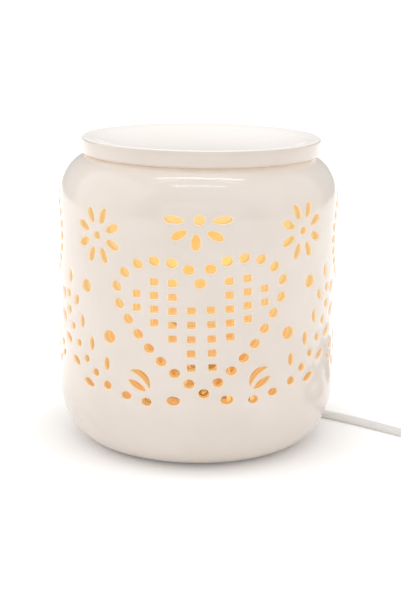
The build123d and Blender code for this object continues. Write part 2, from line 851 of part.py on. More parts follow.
def bulb_reflector():
    """The glass cup from the cap to the lens, seated round the cap's top."""
    outer = lamp_diameter / 2
    base = cap_top_diameter / 2
    wall = reflector_wall
    ledge_z = lamp_top_z - lens_thickness
    height = lamp_top_z - cap_top_z
    bulge_r_share = 0.62
    bulge_z_share = 0.42
    bulge = (base + (outer - base) * bulge_r_share, 0, cap_top_z + height * bulge_z_share)
    bulge_in = (bulge[0] - wall, 0, bulge[2])
    outline = [
        ThreePointArc((base, 0, cap_top_z), bulge, (outer, 0, lamp_top_z)),
        flat_line((outer, lamp_top_z), (outer - lens_ledge, lamp_top_z),
                  (outer - lens_ledge, ledge_z), (outer - lens_ledge - wall, ledge_z)),
        ThreePointArc((outer - lens_ledge - wall, 0, ledge_z), bulge_in, (base - wall * 2, 0, cap_top_z)),
        flat_line((base - wall * 2, cap_top_z), (base, cap_top_z)),
    ]
    return turned(outline)


def bulb_lens():
    """The front glass, slightly domed, lying on the reflector's ledge."""
    radius = lamp_diameter / 2 - lens_ledge - fit_clearance
    low = lamp_top_z - lens_thickness
    sphere = (radius ** 2 + lens_rise ** 2) / (2 * lens_rise)
    centre_z = lamp_top_z + lens_rise - sphere
    half_z = centre_z + math.sqrt(sphere ** 2 - (radius / 2) ** 2)
    outline = [
        flat_line((0, lamp_top_z + lens_rise), (0, low), (radius, low), (radius, lamp_top_z)),
        ThreePointArc((radius, 0, lamp_top_z), (radius / 2, 0, half_z), (0, 0, lamp_top_z + lens_rise)),
    ]
    return turned(outline)


def bulb_capsule():
    """The small inner glass tube that holds the filament."""
    radius = capsule_diameter / 2
    low = cap_top_z - capsule_seat_depth
    high = low + capsule_height
    outline = [
        flat_line((0, high), (0, low), (radius, low), (radius, high - radius)),
        curve_xz((0, high - radius), radius, radius, 0, 90),
    ]
    return turned(outline)


# Wiring inside the jar


def block_top():
    return floor_under_z + block_height


def pole_places():
    return [-pole_spacing / 2, pole_spacing / 2]


def block_front():
    return block_back - block_depth


def pole_screw_rows():
    quarter = block_depth / 4
    return [block_front() + quarter, block_back - quarter]


def terminal_block():
    """A ceramic block with two bores for brass sleeves and a screw hole over each end."""
    block = box_between((-block_width / 2, block_width / 2), (block_front(), block_back),
                        (floor_under_z, block_top()))
    block = fillet(block.edges().filter_by(Axis.Z), block_corner)
    cuts = []
    for x in pole_places():
        cuts.append(rod_along_y(x, cord_height, block_front() - overrun, block_back + overrun,
                                sleeve_diameter / 2 + fit_clearance))
        for y in pole_screw_rows():
            cuts.append(post(x, y, cord_height, block_top() + overrun,
                             pole_screw_diameter / 2 + fit_clearance))
    return block - cuts


def terminal_sleeves():
    sleeves = []
    for x in pole_places():
        tube = rod_along_y(x, cord_height, block_front(), block_back, sleeve_diameter / 2)
        bore = rod_along_y(x, cord_height, block_front() - overrun, block_back + overrun, sleeve_bore / 2)
        sleeves.append(tube - bore)
    return sleeves


def terminal_screws():
    """Slotted grub screws that bear on the sleeves."""
    screws = []
    low = cord_height + sleeve_diameter / 2
    for x in pole_places():
        for y in pole_screw_rows():
            top = block_top() - pole_screw_recess
            screw = post(x, y, low, top, pole_screw_diameter / 2)
            slot = box_between((x - pole_screw_diameter, x + pole_screw_diameter),
                               (y - screw_slot_width / 4, y + screw_slot_width / 4),
                               (top - pole_screw_recess / 2, top + overrun))
            screws.append(screw - slot)
    return screws


def lamp_leads():
    """Two heat-proof leads from the contacts down through the bracket and back to the block."""
    leads = []
    entry = block_front()
    for (x, y), pole in zip(lead_places(), pole_places()):
        bend_z = cord_height + 3 * lead_diameter
        points = [(x, y, holder_z), (x, y, bend_z), (pole, entry - 2 * lead_diameter, cord_height),
                  (pole, entry + lead_diameter, cord_height)]
        leads.append(bead(points, arc_radii(points), lead_diameter / 2))
    return leads


def cord_cores():
    """The two insulated cores that fan out from the sheath's end to the block."""
    cores = []
    straight = core_diameter * 0.75
    for side, pole in zip((-1, 1), pole_places()):
        x = side * core_spacing / 2
        points = [(x, sheath_end, cord_height), (x, sheath_end - straight, cord_height),
                  (pole, block_back + straight * 0.6, cord_height),
                  (pole, block_back - core_diameter, cord_height)]
        cores.append(bead(points, arc_radii(points), core_diameter / 2))
    return cores


def clamp_body(low, high):
    half = clamp_width / 2
    body = box_between((-half, half), (clamp_front, clamp_back), (low, high))
    groove = rod_along_y(0, cord_height, clamp_front - overrun, clamp_back + overrun,
                         cord_radius + fit_clearance)
    holes = [post(side * saddle_screw_spacing / 2, clamp_back - clamp_depth / 2, low - overrun,
                  high + overrun, saddle_screw_diameter / 2 + fit_clearance) for side in (-1, 1)]
    return body - [groove, *holes]


def cord_clamp_base():
    """The lower half of the cord clamp, a block that stands on the base plate."""
    return clamp_body(floor_under_z, cord_height - clamp_split / 2)


def cord_clamp_saddle():
    """The upper half of the cord clamp."""
    return clamp_body(cord_height + clamp_split / 2, cord_height + clamp_saddle_height)


def saddle_screws():
    screws = []
    top = cord_height + clamp_saddle_height
    for side in (-1, 1):
        x, y = side * saddle_screw_spacing / 2, clamp_back - clamp_depth / 2
        shank = post(x, y, plate_under_z, top, saddle_screw_diameter / 2)
        head = post(x, y, top, top + saddle_head_height, saddle_head_diameter / 2)
        screws.append(shank + head)
    return screws


def cord_grommet():
    """The rubber bush in the jar's wall, its flange lying on the glaze and its tail tapering outwards."""
    bore = rod_along_y(0, cord_height, grommet_inner_end - overrun, grommet_outer_end + overrun,
                       cord_radius + fit_clearance)
    barrel = rod_along_y(0, cord_height, grommet_inner_end, jar_radius,
                         cord_hole_diameter / 2 - fit_clearance)
    flange = rod_along_y(0, cord_height, foot_radius, jar_radius + grommet_flange_thickness,
                         grommet_flange_diameter / 2)
    flange = (flange & jar_block(grommet_flange_thickness)) - jar_block(fit_clearance)
    barrel = barrel & jar_block(grommet_flange_thickness)
    tail_start = jar_radius - jar_wall
    length = grommet_outer_end - tail_start
    tail = Cone(grommet_root_diameter / 2, grommet_tip_diameter / 2, length)
    tail = Pos(0, tail_start + length / 2, cord_height) * Rot(X=-90) * tail
    return flange + barrel + tail - bore


def cord_inside():
    """The sheathed cord from the end of its cores, through the clamp and the grommet."""
    return rod_along_y(0, cord_height, sheath_end, grommet_outer_end, cord_radius)


# Cord outside the jar. The points of the free stretches are chosen by hand.

table_z = cord_radius
cord_run_points = [
    (0.0, grommet_outer_end, cord_height),
    (0.0, 95.5, cord_height),
    (4.0, 109.5, 7.4),
    (13.5, 121.0, 2.2),
    (28.5, 126.0, table_z),
    (44.0, 121.0, table_z),
    (54.0, 107.0, table_z),
    (57.0, 89.0, table_z),
    (54.5, 71.0, table_z),
    (50.5, 54.0, table_z),
    (51.0, 38.0, table_z),
    (57.5, 22.5, table_z),
    (74.0, 11.5, table_z),
    (91.5, -2.5, table_z),
    (104.0, -13.5, table_z),
    (113.5, -21.5, table_z),
    (124.5, coil_y - coil_outer_radius, table_z),
    (coil_x - cord_diameter, coil_y - coil_outer_radius, table_z),
]
switch_front_y = switch_y - switch_length / 2
switch_back_y = switch_y + switch_length / 2
coil_end_z = table_z + coil_layer_rise
cord_link_points = [
    (coil_x + coil_outer_radius, coil_y + cord_diameter, coil_end_z),
    (coil_x + coil_outer_radius, 15.8, coil_end_z),
    (172.9, 25.0, 5.8),
    (switch_x, 34.2, switch_cord_height),
    (switch_x, switch_front_y, switch_cord_height),
]
cord_tail_points = [
    (switch_x, switch_back_y, switch_cord_height),
    (switch_x, 106.0, switch_cord_height),
    (170.8, 116.8, 3.0),
    (160.2, 123.2, table_z),
    (148.0, 123.2, table_z),
    (137.4, 117.0, 3.4),
    (plug_x, 106.4, plug_thickness / 2),
    (plug_x, plug_rear_y, plug_thickness / 2),
]


def free_cord(points, name):
    """A free stretch of cord, with its arcs and its volume printed."""
    radii = arc_radii(points)
    tube = bead(points, radii, cord_radius)
    length = FilletPolyline(*points, radius=radii).length
    share = tube.volume / (math.pi * cord_radius ** 2 * length)
    print(name, "length", round(length, 1), "volume share", round(share, 4))
    print(name, "arc radii", [round(r, 1) for r in radii])
    return tube


def coil_edges():
    """Half-turn arcs that spiral in, climb one layer and spiral out, then a quarter turn."""
    edges = [Line((coil_x - cord_diameter, coil_y - coil_outer_radius, table_z),
                  (coil_x, coil_y - coil_outer_radius, table_z))]
    at = Vector(coil_x, coil_y - coil_outer_radius, table_z)
    up = 1
    half_turns = 2 * coil_turns_per_layer
    radii = [coil_outer_radius - k * coil_pitch / 2 for k in range(half_turns + 1)]
    for radius in radii[:-1]:
        middle = at + Vector(up * radius, up * radius, 0)
        end = at + Vector(0, up * 2 * radius, 0)
        edges.append(ThreePointArc(at, middle, end))
        at, up = end, -up
    climb_end = at + Vector(0, up * 2 * radii[-1], coil_layer_rise)
    heading = Vector(up, 0, 0)
    reach = (climb_end - at).length / 2
    middle = (at + climb_end) * 0.5 + heading * reach
    edges.append(TangentArc(at, middle, tangent=heading))
    edges.append(TangentArc(middle, climb_end, tangent=climb_end - at))
    at, up = climb_end, -up
    for radius in radii[-2:0:-1]:
        middle = at + Vector(up * radius, up * radius, 0)
        end = at + Vector(0, up * 2 * radius, 0)
        edges.append(ThreePointArc(at, middle, end))
        at, up = end, -up
    quarter = math.sqrt(0.5)
    centre = at + Vector(0, up * coil_outer_radius, 0)
    middle = centre + Vector(up * quarter * coil_outer_radius, -up * quarter * coil_outer_radius, 0)
    end = centre + Vector(up * coil_outer_radius, 0, 0)
    edges.append(ThreePointArc(at, middle, end))
    edges.append(Line(end, end + Vector(0, cord_diameter, 0)))
    return edges


def least_gap(path, length):
    """The least gap of the coil to itself, measured on points along it."""
    step = cord_diameter / 4
    count = int(length / step)
    points = [path @ (k / count) for k in range(count + 1)]
    skip = 4 * 4
    nearest = min((a - b).length for i, a in enumerate(points) for b in points[i + skip:])
    return nearest - cord_diameter


def cord_coil():
    """The put-away length, one unbroken tube in two layers of turns."""
    path = Wire(coil_edges())
    section = Plane(origin=path @ 0, z_dir=path % 0) * Circle(cord_radius)
    coil = sweep(section, path=path)
    length = path.length
    share = coil.volume / (math.pi * cord_radius ** 2 * length)
    print("cord_coil length", round(length, 1), "volume share", round(share, 4))
    print("cord_coil least gap", round(least_gap(path, length), 2))
    return coil


# In-line switch


def switch_block(low, high, inset=0.0):
    """The switch's rounded outline between two heights."""
    shape = RectangleRounded(switch_width - 2 * inset, switch_length - 2 * inset, switch_corner - inset)
    return Pos(switch_x, switch_y, low) * extrude(shape, amount=high - low)


def switch_posts(low, high, radius):
    return [post(switch_x, switch_y + side * switch_screw_spacing / 2, low, high, radius)
            for side in (-1, 1)]


def switch_cord_ways():
    """The cord's entries through both end walls."""
    near = rod_along_y(switch_x, switch_cord_height, switch_front_y - overrun,
                       switch_front_y + switch_wall + overrun, cord_radius)
    far = rod_along_y(switch_x, switch_cord_height, switch_back_y - switch_wall - overrun,
                      switch_back_y + overrun, cord_radius)
    return [near, far]


def switch_lower_shell():
    """The lower half of the switch, a tray with two screw posts."""
    shell = switch_block(0, switch_split)
    bottom = shell.edges().group_by(Axis.Z)[0]
    shell = fillet(bottom, switch_edge)
    shell -= switch_block(switch_wall, switch_split + overrun, switch_wall)
    shell += switch_posts(switch_wall - overrun / 2, switch_split, switch_post_diameter / 2)
    cuts = switch_posts(-overrun, switch_split + overrun, switch_screw_diameter / 2 + fit_clearance)
    cuts += switch_posts(-overrun, switch_screw_head_height + screw_clearance,
                         switch_screw_head_diameter / 2 + fit_clearance)
    return shell - cuts


def rocker_axis_z():
    return switch_height - rocker_drop / 2


def rocker_pins(extra=0.0):
    """The rocker's two side pins, or the holes for them when made larger."""
    half = rocker_width / 2
    radius = rocker_pin_diameter / 2 + extra
    pins = []
    for side in (-1, 1):
        middle = switch_x + side * (half + rocker_pin_length / 2)
        pin = Pos(middle, switch_y, rocker_axis_z()) * Rot(Y=90) * Cylinder(
            radius, rocker_pin_length + (2 * rocker_gap if extra else 0))
        pins.append(pin)
    return pins


def switch_upper_shell():
    """The upper half of the switch, with a window and two ears that carry the rocker's pins."""
    low = switch_split
    shell = switch_block(low, switch_height)
    top = shell.edges().group_by(Axis.Z)[-1]
    shell = fillet(top, switch_edge)
    shell -= switch_block(low - overrun, switch_height - switch_wall, switch_wall)
    shell += switch_posts(low, switch_height - switch_wall + overrun / 2, switch_post_diameter / 2)
    half_x = rocker_width / 2 + rocker_gap
    half_y = rocker_length / 2 + 2 * rocker_gap
    ear = rocker_pin_length
    window_y = (switch_y - half_y, switch_y + half_y)
    ear_low = rocker_axis_z() - rocker_pin_diameter
    for side in (-1, 1):
        ends = sorted((switch_x + side * half_x, switch_x + side * (half_x + ear)))
        shell += box_between(ends, (switch_y - rocker_pin_diameter, switch_y + rocker_pin_diameter),
                             (ear_low, switch_height - switch_wall + overrun / 2))
    window = box_between((switch_x - half_x, switch_x + half_x), window_y,
                         (ear_low - overrun, switch_height + overrun))
    shell -= window
    shell -= rocker_pins(rocker_pin_clearance)
    blind = switch_posts(low - overrun, switch_height - switch_wall - overrun / 2,
                         switch_screw_diameter / 2 + fit_clearance)
    return shell - blind


def switch_rocker():
    """The rocker at its on position: two flat faces that meet in a shallow valley, on two pins."""
    half_x, half_y = rocker_width / 2, rocker_length / 2
    axis_z = rocker_axis_z()
    crest = switch_height + rocker_proud
    valley = switch_height
    foot = axis_z - rocker_drop / 2
    shoulder = rocker_pin_diameter / 2
    profile = Polyline((0, -half_y, crest - axis_z), (0, 0, valley - axis_z), (0, half_y, crest - axis_z),
                       (0, half_y, shoulder), (0, half_y / 2, foot - axis_z),
                       (0, -half_y / 2, foot - axis_z), (0, -half_y, shoulder), close=True)
    block = extrude(make_face(profile), amount=half_x, dir=(1, 0, 0), both=True)
    pins = [Pos(-switch_x, -switch_y, -axis_z) * pin for pin in rocker_pins()]
    rocker = block + pins
    return Pos(switch_x, switch_y, axis_z) * Rot(X=rocker_tilt) * rocker


def switch_screws():
    screws = []
    high = switch_height - switch_wall - overrun
    for side in (-1, 1):
        y = switch_y + side * switch_screw_spacing / 2
        shank = post(switch_x, y, screw_clearance, high, switch_screw_diameter / 2)
        head = post(switch_x, y, screw_clearance, switch_screw_head_height + screw_clearance,
                    switch_screw_head_diameter / 2)
        screws.append(shank + head)
    return screws


def switch_strips():
    """Two brass contact strips on the tray's floor, one on each side of the rocker's middle."""
    strips = []
    for side in (-1, 1):
        x = switch_x + side * switch_width / 4
        y = switch_y
        strips.append(box_between((x - switch_strip_width / 2, x + switch_strip_width / 2),
                                  (y - switch_strip_length / 2, y + switch_strip_length / 2),
                                  (switch_wall, switch_wall + switch_strip_thickness)))
    return strips


# Plug


def plug_body():
    """A slim moulded plug that narrows from its pin face to the cord."""
    front_y = plug_rear_y - plug_length
    half, rear = plug_width / 2, plug_rear_width / 2
    shoulder_y = front_y + plug_front_length
    outline = Polyline((plug_x - half, front_y), (plug_x + half, front_y), (plug_x + half, shoulder_y),
                       (plug_x + rear, plug_rear_y), (plug_x - rear, plug_rear_y),
                       (plug_x - half, shoulder_y), close=True)
    body = extrude(make_face(outline), amount=plug_thickness)
    body = fillet(body.edges().filter_by(Axis.Z), plug_corner)
    body = fillet(body.faces().filter_by(Axis.Z).edges(), plug_edge)
    holes = [rod_along_y(plug_x + side * pin_spacing / 2, plug_thickness / 2, front_y - overrun,
                         front_y + pin_root, pin_core_diameter / 2 + fit_clearance) for side in (-1, 1)]
    return body - holes


def plug_pins():
    """Pins with a rounded bare tip and a thinner core that runs on into the plug."""
    pins = []
    front_y = plug_rear_y - plug_length
    for side in (-1, 1):
        x = plug_x + side * pin_spacing / 2
        bare = rod_along_y(x, plug_thickness / 2, front_y - pin_length, front_y - pin_sleeve_length,
                           pin_diameter / 2)
        tip = bare.edges().filter_by(GeomType.CIRCLE).group_by(Axis.Y)[0]
        bare = fillet(tip, pin_tip_radius)
        core = rod_along_y(x, plug_thickness / 2, front_y - pin_sleeve_length - overrun,
                           front_y + pin_root, pin_core_diameter / 2)
        pins.append(bare + core)
    return pins


def plug_pin_sleeves():
    """Insulating sleeves round the cores of the pins, flush with the bare tips."""
    sleeves = []
    front_y = plug_rear_y - plug_length
    for side in (-1, 1):
        x = plug_x + side * pin_spacing / 2
        sleeve = rod_along_y(x, plug_thickness / 2, front_y - pin_sleeve_length, front_y, pin_diameter / 2)
        bore = rod_along_y(x, plug_thickness / 2, front_y - pin_sleeve_length - overrun, front_y + overrun,
                           pin_core_diameter / 2)
        sleeves.append(sleeve - bore)
    return sleeves


save("ceramic_body", ceramic_body())
save("oil_dish", oil_dish())
save("base_plate", base_plate())
save("rubber_feet", *rubber_feet())
save("retaining_bar", retaining_bar())
save("bar_pads", *bar_pads())
save("clamp_screws", *clamp_screws())
save("clamp_nuts", *clamp_nuts())
save("lamp_bracket", lamp_bracket())
save("lampholder", lampholder())
save("holder_plate", holder_plate())
save("holder_screws", *holder_screws())
save("holder_contacts", *holder_contacts())
save("bulb_cap", bulb_cap())
save("bulb_studs", *bulb_studs())
save("bulb_reflector", bulb_reflector())
save("bulb_lens", bulb_lens())
save("bulb_capsule", bulb_capsule())
save("terminal_block", terminal_block())
save("terminal_sleeves", *terminal_sleeves())
save("terminal_screws", *terminal_screws())
save("lamp_leads", *lamp_leads())
save("cord_cores", *cord_cores())
save("cord_clamp_base", cord_clamp_base())
save("cord_clamp_saddle", cord_clamp_saddle())
save("saddle_screws", *saddle_screws())
save("cord_grommet", cord_grommet())
save("cord_inside", cord_inside())
save("cord_run", free_cord(cord_run_points, "cord_run"))
save("cord_coil", cord_coil())
save("cord_link", free_cord(cord_link_points, "cord_link"))
save("cord_tail", free_cord(cord_tail_points, "cord_tail"))
save("switch_lower_shell", switch_lower_shell() - switch_cord_ways())
save("switch_upper_shell", switch_upper_shell() - switch_cord_ways())
save("switch_rocker", switch_rocker())
save("switch_screws", *switch_screws())
save("switch_strips", *switch_strips())
save("plug_body", plug_body())
save("plug_pins", *plug_pins())
save("plug_pin_sleeves", *plug_pin_sleeves())
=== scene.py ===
# %% [markdown]
# An electric oil burner: a pierced, glazed ceramic jar with a lamp inside and a shallow dish on top.
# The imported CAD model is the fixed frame. Everything made here sits in that frame, in metres.

# %% Load the frame
import math

import bmesh
import bpy
import numpy as np
from mathutils import Matrix, Vector
from mathutils.geometry import delaunay_2d_cdt


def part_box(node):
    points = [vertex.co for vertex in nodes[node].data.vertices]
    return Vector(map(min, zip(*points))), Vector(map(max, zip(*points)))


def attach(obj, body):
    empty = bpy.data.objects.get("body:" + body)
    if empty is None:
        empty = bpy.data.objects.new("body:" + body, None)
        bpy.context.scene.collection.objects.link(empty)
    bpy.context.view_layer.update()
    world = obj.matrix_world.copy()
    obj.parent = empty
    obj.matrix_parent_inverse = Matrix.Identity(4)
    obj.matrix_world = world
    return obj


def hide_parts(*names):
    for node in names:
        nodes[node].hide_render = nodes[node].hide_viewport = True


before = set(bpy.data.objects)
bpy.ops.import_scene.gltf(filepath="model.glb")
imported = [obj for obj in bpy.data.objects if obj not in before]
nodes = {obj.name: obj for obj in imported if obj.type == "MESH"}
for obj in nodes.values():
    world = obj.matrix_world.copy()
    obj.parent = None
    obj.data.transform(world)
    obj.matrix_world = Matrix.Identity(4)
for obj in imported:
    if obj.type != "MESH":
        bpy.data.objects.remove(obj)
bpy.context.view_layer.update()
MM = 0.001

# %% [markdown]
# Colours are written as the sRGB hex values that an eye would pick on a screen. A shader works in
# linear light, so one function turns every one of them. Another adds a node with its settings and
# links, which keeps each material a short list of what it is made of.


# %% Small helpers for colours and nodes
def linear(hex_colour):
    """An sRGB hex colour as linear red, green, blue and alpha."""
    parts = [int(hex_colour[i:i + 2], 16) / 255 for i in (1, 3, 5)]
    return tuple(c / 12.92 if c <= 0.04045 else ((c + 0.055) / 1.055) ** 2.4 for c in parts) + (1.0,)


def feed(tree, node, inputs):
    """Gives inputs their values. A socket is linked, and of a node its first output in use."""
    for key, value in inputs.items():
        if isinstance(value, bpy.types.Node):
            value = next(output for output in value.outputs if output.enabled)
        if isinstance(value, bpy.types.NodeSocket):
            tree.links.new(value, node.inputs[key])
        else:
            node.inputs[key].default_value = value


def add_node(tree, kind, inputs=None, **settings):
    """A new node with its settings made and its inputs fed."""
    node = tree.nodes.new(kind)
    for key, value in settings.items():
        setattr(node, key, value)
    feed(tree, node, inputs or {})
    return node


def maths(tree, operation, *values, **settings):
    """A Math node on one or two values."""
    return add_node(tree, "ShaderNodeMath", dict(enumerate(values)), operation=operation, **settings)


def stretched(tree, value, start, end, low=0.0, high=1.0):
    """A value between a start and an end, as a value between low and high."""
    return add_node(tree, "ShaderNodeMapRange",
                    {"Value": value, "From Min": start, "From Max": end, "To Min": low, "To Max": high})


def noise(tree, place, width, detail=2.0, **inputs):
    """Noise whose clouds have about a given width."""
    return add_node(tree, "ShaderNodeTexNoise",
                    {"Scale": 1 / width, "Detail": detail, "Vector": place, **inputs})


def blend(tree, share, first, second):
    """Two colours mixed, each one a hex text or a node."""
    first, second = (linear(c) if isinstance(c, str) else c for c in (first, second))
    return add_node(tree, "ShaderNodeMix", {0: share, 6: first, 7: second}, data_type="RGBA")


def empty_tree(owner):
    """The node tree of a material or world, with nothing in it."""
    owner.use_nodes = True
    owner.node_tree.nodes.clear()
    return owner.node_tree


def new_material(name, roughness, metallic=0.0, ior=1.5):
    """A node material with its Principled shader and output, and the place on the object."""
    material = bpy.data.materials.new(name)
    tree = empty_tree(material)
    shader = add_node(tree, "ShaderNodeBsdfPrincipled",
                      {"Roughness": roughness, "Metallic": metallic, "IOR": ior})
    add_node(tree, "ShaderNodeOutputMaterial", {"Surface": shader})
    place = add_node(tree, "ShaderNodeTexCoord").outputs["Object"]
    return material, tree, shader, place


def tint_and_relief(tree, shader, tones, share, height, depth):
    """Mixes a shader's colour from two tones by one pattern and bumps it by another."""
    tint = blend(tree, share, *tones)
    relief = add_node(tree, "ShaderNodeBump", {"Distance": depth, "Height": height})
    feed(tree, shader, {"Base Color": tint, "Normal": relief})
    return tint


def new_object(name, data):
    """An object in the scene. A bmesh is turned into mesh data first."""
    if isinstance(data, bmesh.types.BMesh):
        mesh, data = data, bpy.data.meshes.new(name)
        mesh.to_mesh(data)
        mesh.free()
    obj = bpy.data.objects.new(name, data)
    bpy.context.scene.collection.objects.link(obj)
    return obj


# %% [markdown]
# The camera stands low in front of the jar, with a long lens, so the circles are flat ellipses. The
# jar leans a little to the right in the picture, so the camera is rolled by the same small angle.

# %% Camera
CAMERA_DISTANCE = 600.0 * MM
CAMERA_HEIGHT = 211.4 * MM
CAMERA_SIDE = 1.6 * MM
AIM_HEIGHT = 63.7 * MM
CAMERA_ROLL = math.radians(0.75)
FOCAL_PIXELS = 1306.1
PICTURE_HEIGHT_PIXELS = 601
SENSOR_MM = 36.0
CLIP_METRES = (0.05, 20)

camera_data = bpy.data.cameras.new("camera")
camera_data.sensor_width = SENSOR_MM
camera_data.lens = FOCAL_PIXELS * SENSOR_MM / PICTURE_HEIGHT_PIXELS
camera_data.clip_start, camera_data.clip_end = CLIP_METRES
camera = new_object("camera", camera_data)
camera_place = Vector((CAMERA_SIDE, -CAMERA_DISTANCE, CAMERA_HEIGHT))
look = Vector((CAMERA_SIDE, 0, AIM_HEIGHT)) - camera_place
turn = look.to_track_quat("-Z", "Y").to_matrix() @ Matrix.Rotation(CAMERA_ROLL, 3, "Z")
camera.matrix_world = Matrix.Translation(camera_place) @ turn.to_4x4()
bpy.context.scene.camera = camera
print("camera lens", round(camera_data.lens, 2), "mm")

# %% [markdown]
# The free cord is a single flexible line. A NURBS curve of order 3 runs smoothly inside its control
# points, so the same few route points that give the CAD tube its arcs give a cord with no kinks. The
# put-away length is a coil: half turns whose radius steps by half a cord's pitch, so each turn lies
# beside the last, then one climb, and the same turns out again on top.

# %% Cord route
CORD_DIAMETER = 4.0 * MM
CORD_RADIUS = CORD_DIAMETER / 2
TABLE_Z = CORD_RADIUS
COIL_CENTRE = Vector((138.5, 4.4, 0)) * MM
COIL_RADIUS = 31.0 * MM
COIL_PITCH = 4.5 * MM
COIL_TURNS = 3
STEPS_PER_HALF_TURN = 12

run_points_mm = [
    (0, 82, 16), (0, 95.5, 16), (4, 109.5, 7.4), (13.5, 121, 2.2), (28.5, 126, 2), (44, 121, 2),
    (54, 107, 2), (57, 89, 2), (54.5, 71, 2), (50.5, 54, 2), (51, 38, 2), (57.5, 22.5, 2),
    (74, 11.5, 2), (91.5, -2.5, 2), (104, -13.5, 2), (113.5, -21.5, 2), (124.5, -26.6, 2),
    (134.5, -26.6, 2),
]
link_points_mm = [(169.5, 15.8, 6.5), (172.9, 25, 5.8), (176.5, 34.2, 5.5), (176.5, 42, 5.5)]
tail_points_mm = [
    (176.5, 94, 5.5), (176.5, 106, 5.5), (170.8, 116.8, 3), (160.2, 123.2, 2), (148, 123.2, 2),
    (137.4, 117, 3.4), (131.5, 106.4, 6.85), (131.5, 94.5, 6.85),
]


def half_turn(start, side, radius, rise=0.0):
    """Control points of half a turn, anticlockwise, from its start. Side is +1 going up in Y."""
    outward = radius / math.cos(math.pi / (2 * STEPS_PER_HALF_TURN))
    centre = start + Vector((0, side * radius, 0))
    points = []
    for step in range(STEPS_PER_HALF_TURN):
        share = (step + 0.5) / STEPS_PER_HALF_TURN
        angle = math.pi * share - side * math.pi / 2
        points.append(centre + Vector((outward * math.cos(angle), outward * math.sin(angle), rise * share)))
    return points, start + Vector((0, side * 2 * radius, rise))


def coil_route():
    """Control points of the put-away coil, from its straight start to its straight end."""
    radii = [COIL_RADIUS - k * COIL_PITCH / 2 for k in range(2 * COIL_TURNS + 1)]
    at = COIL_CENTRE + Vector((0, -COIL_RADIUS, TABLE_Z))
    route, side = [at.copy()], 1
    for radius in [*radii, *reversed(radii[1:-1])]:
        points, at = half_turn(at, side, radius, COIL_PITCH if radius == radii[-1] else 0.0)
        route, side = route + points, -side
    quarter_turn = half_turn(at, side, COIL_RADIUS)[0][:STEPS_PER_HALF_TURN // 2]
    return [*route, *quarter_turn, at + Vector((COIL_RADIUS, side * COIL_RADIUS, 0))]


def cord_curve(name, points):
    """A round cord along one smooth open spline."""
    data = bpy.data.curves.new(name, "CURVE")
    data.dimensions = "3D"
    spline = data.splines.new("NURBS")
    spline.points.add(len(points) - 1)
    for point, place in zip(spline.points, points):
        point.co = (*place, 1.0)
    spline.order_u = 3
    spline.use_endpoint_u = True
    spline.resolution_u = 6
    data.bevel_depth = CORD_RADIUS
    data.bevel_resolution = 4
    data.use_fill_caps = True
    return new_object(name, data)


run_points, link_points, tail_points = (
    [Vector(p) * MM for p in points] for points in (run_points_mm, link_points_mm, tail_points_mm))
main_cord = cord_curve("main_cord", run_points + coil_route() + link_points)
tail_cord = cord_curve("tail_cord", tail_points)
print("cord control points", *(len(cord.data.splines[0].points) for cord in (main_cord, tail_cord)))

# %% [markdown]
# The jar's wall is pierced by hand with more than two hundred holes. Their places are the same as
# in the solid: shares of the quarter turn from the front to the side, and of the jar's height.
# Cutting them with booleans would leave sharp, ragged edges, but a glazed hole has a soft round lip
# where the glaze pulled back. So the wall is made flat first, as a slab whose holes have their lips
# already, and then wrapped round the jar.

# %% Sizes of the jar
jar_low, jar_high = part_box("ceramic_body")
JAR_RADIUS = (jar_high.x - jar_low.x) / 2
JAR_HEIGHT = jar_high.z - jar_low.z
RING_Z = jar_low.z
TOP_Z = jar_high.z
WALL = 4.5 * MM
FOOT_RADIUS = 47.9 * MM
FOOT_WIDTH = 6.4 * MM
FLOOR_UNDER_Z = RING_Z + 4.2 * MM
FLOOR_TOP_Z = FLOOR_UNDER_Z + 5.0 * MM
FLOOR_OPENING = 34.0 * MM
CORNER_Z = RING_Z + 29.0 * MM
SHOULDER_Z = TOP_Z - 22.5 * MM
MOUTH_OUTER = 48.8 * MM
MOUTH_RADIUS = 45.0 * MM
INNER_RADIUS = JAR_RADIUS - WALL
CEILING_Z = TOP_Z - WALL
QUARTER = math.pi * JAR_RADIUS / 2
BELT_LOW = 10.25 * MM          # the pierced belt of the wall runs from here
BELT_HIGH = 126.0 * MM         # to here
SEGMENTS = 192                 # facets round the jar
CORD_HEIGHT = 16.0 * MM
LIP = 0.55 * MM                # how far a hole's rounded glaze lip reaches
print("jar", round(2 * JAR_RADIUS, 4), "wide", round(JAR_HEIGHT, 4), "high")

# %% [markdown]
# Each hole is a closed outline in the flat wall, anticlockwise, in metres. A dot is an ellipse, a
# petal is an egg with its narrow end towards the flower, a leaf is two arcs, and the new moon beside
# the heart's tip is two arcs of different height.


# %% Outlines of the holes
def arc_through(start, top, end, count):
    """Points on the arc from start to end that passes through top, without the end point."""
    (ax, ay), (bx, by), (cx, cy) = start, top, end
    d = 2 * (ax * (by - cy) + bx * (cy - ay) + cx * (ay - by))
    sa, sb, sc = ax * ax + ay * ay, bx * bx + by * by, cx * cx + cy * cy
    ux = (sa * (by - cy) + sb * (cy - ay) + sc * (ay - by)) / d
    uy = (sa * (cx - bx) + sb * (ax - cx) + sc * (bx - ax)) / d
    radius = math.hypot(ax - ux, ay - uy)
    a0, a1, a2 = (math.atan2(y - uy, x - ux) for x, y in (start, top, end))
    turn_all = (a2 - a0) % (2 * math.pi)
    if (a1 - a0) % (2 * math.pi) > turn_all:
        turn_all -= 2 * math.pi
    angles = [a0 + turn_all * k / count for k in range(count)]
    return [(ux + radius * math.cos(a), uy + radius * math.sin(a)) for a in angles]


PETAL_INNER_SHARE = 0.57       # of a petal's length lies on the flower's side of its widest place
MANY_POINTS_AREA = (3.9 * MM) ** 2
SQUARE_CORNER = 0.45 * MM


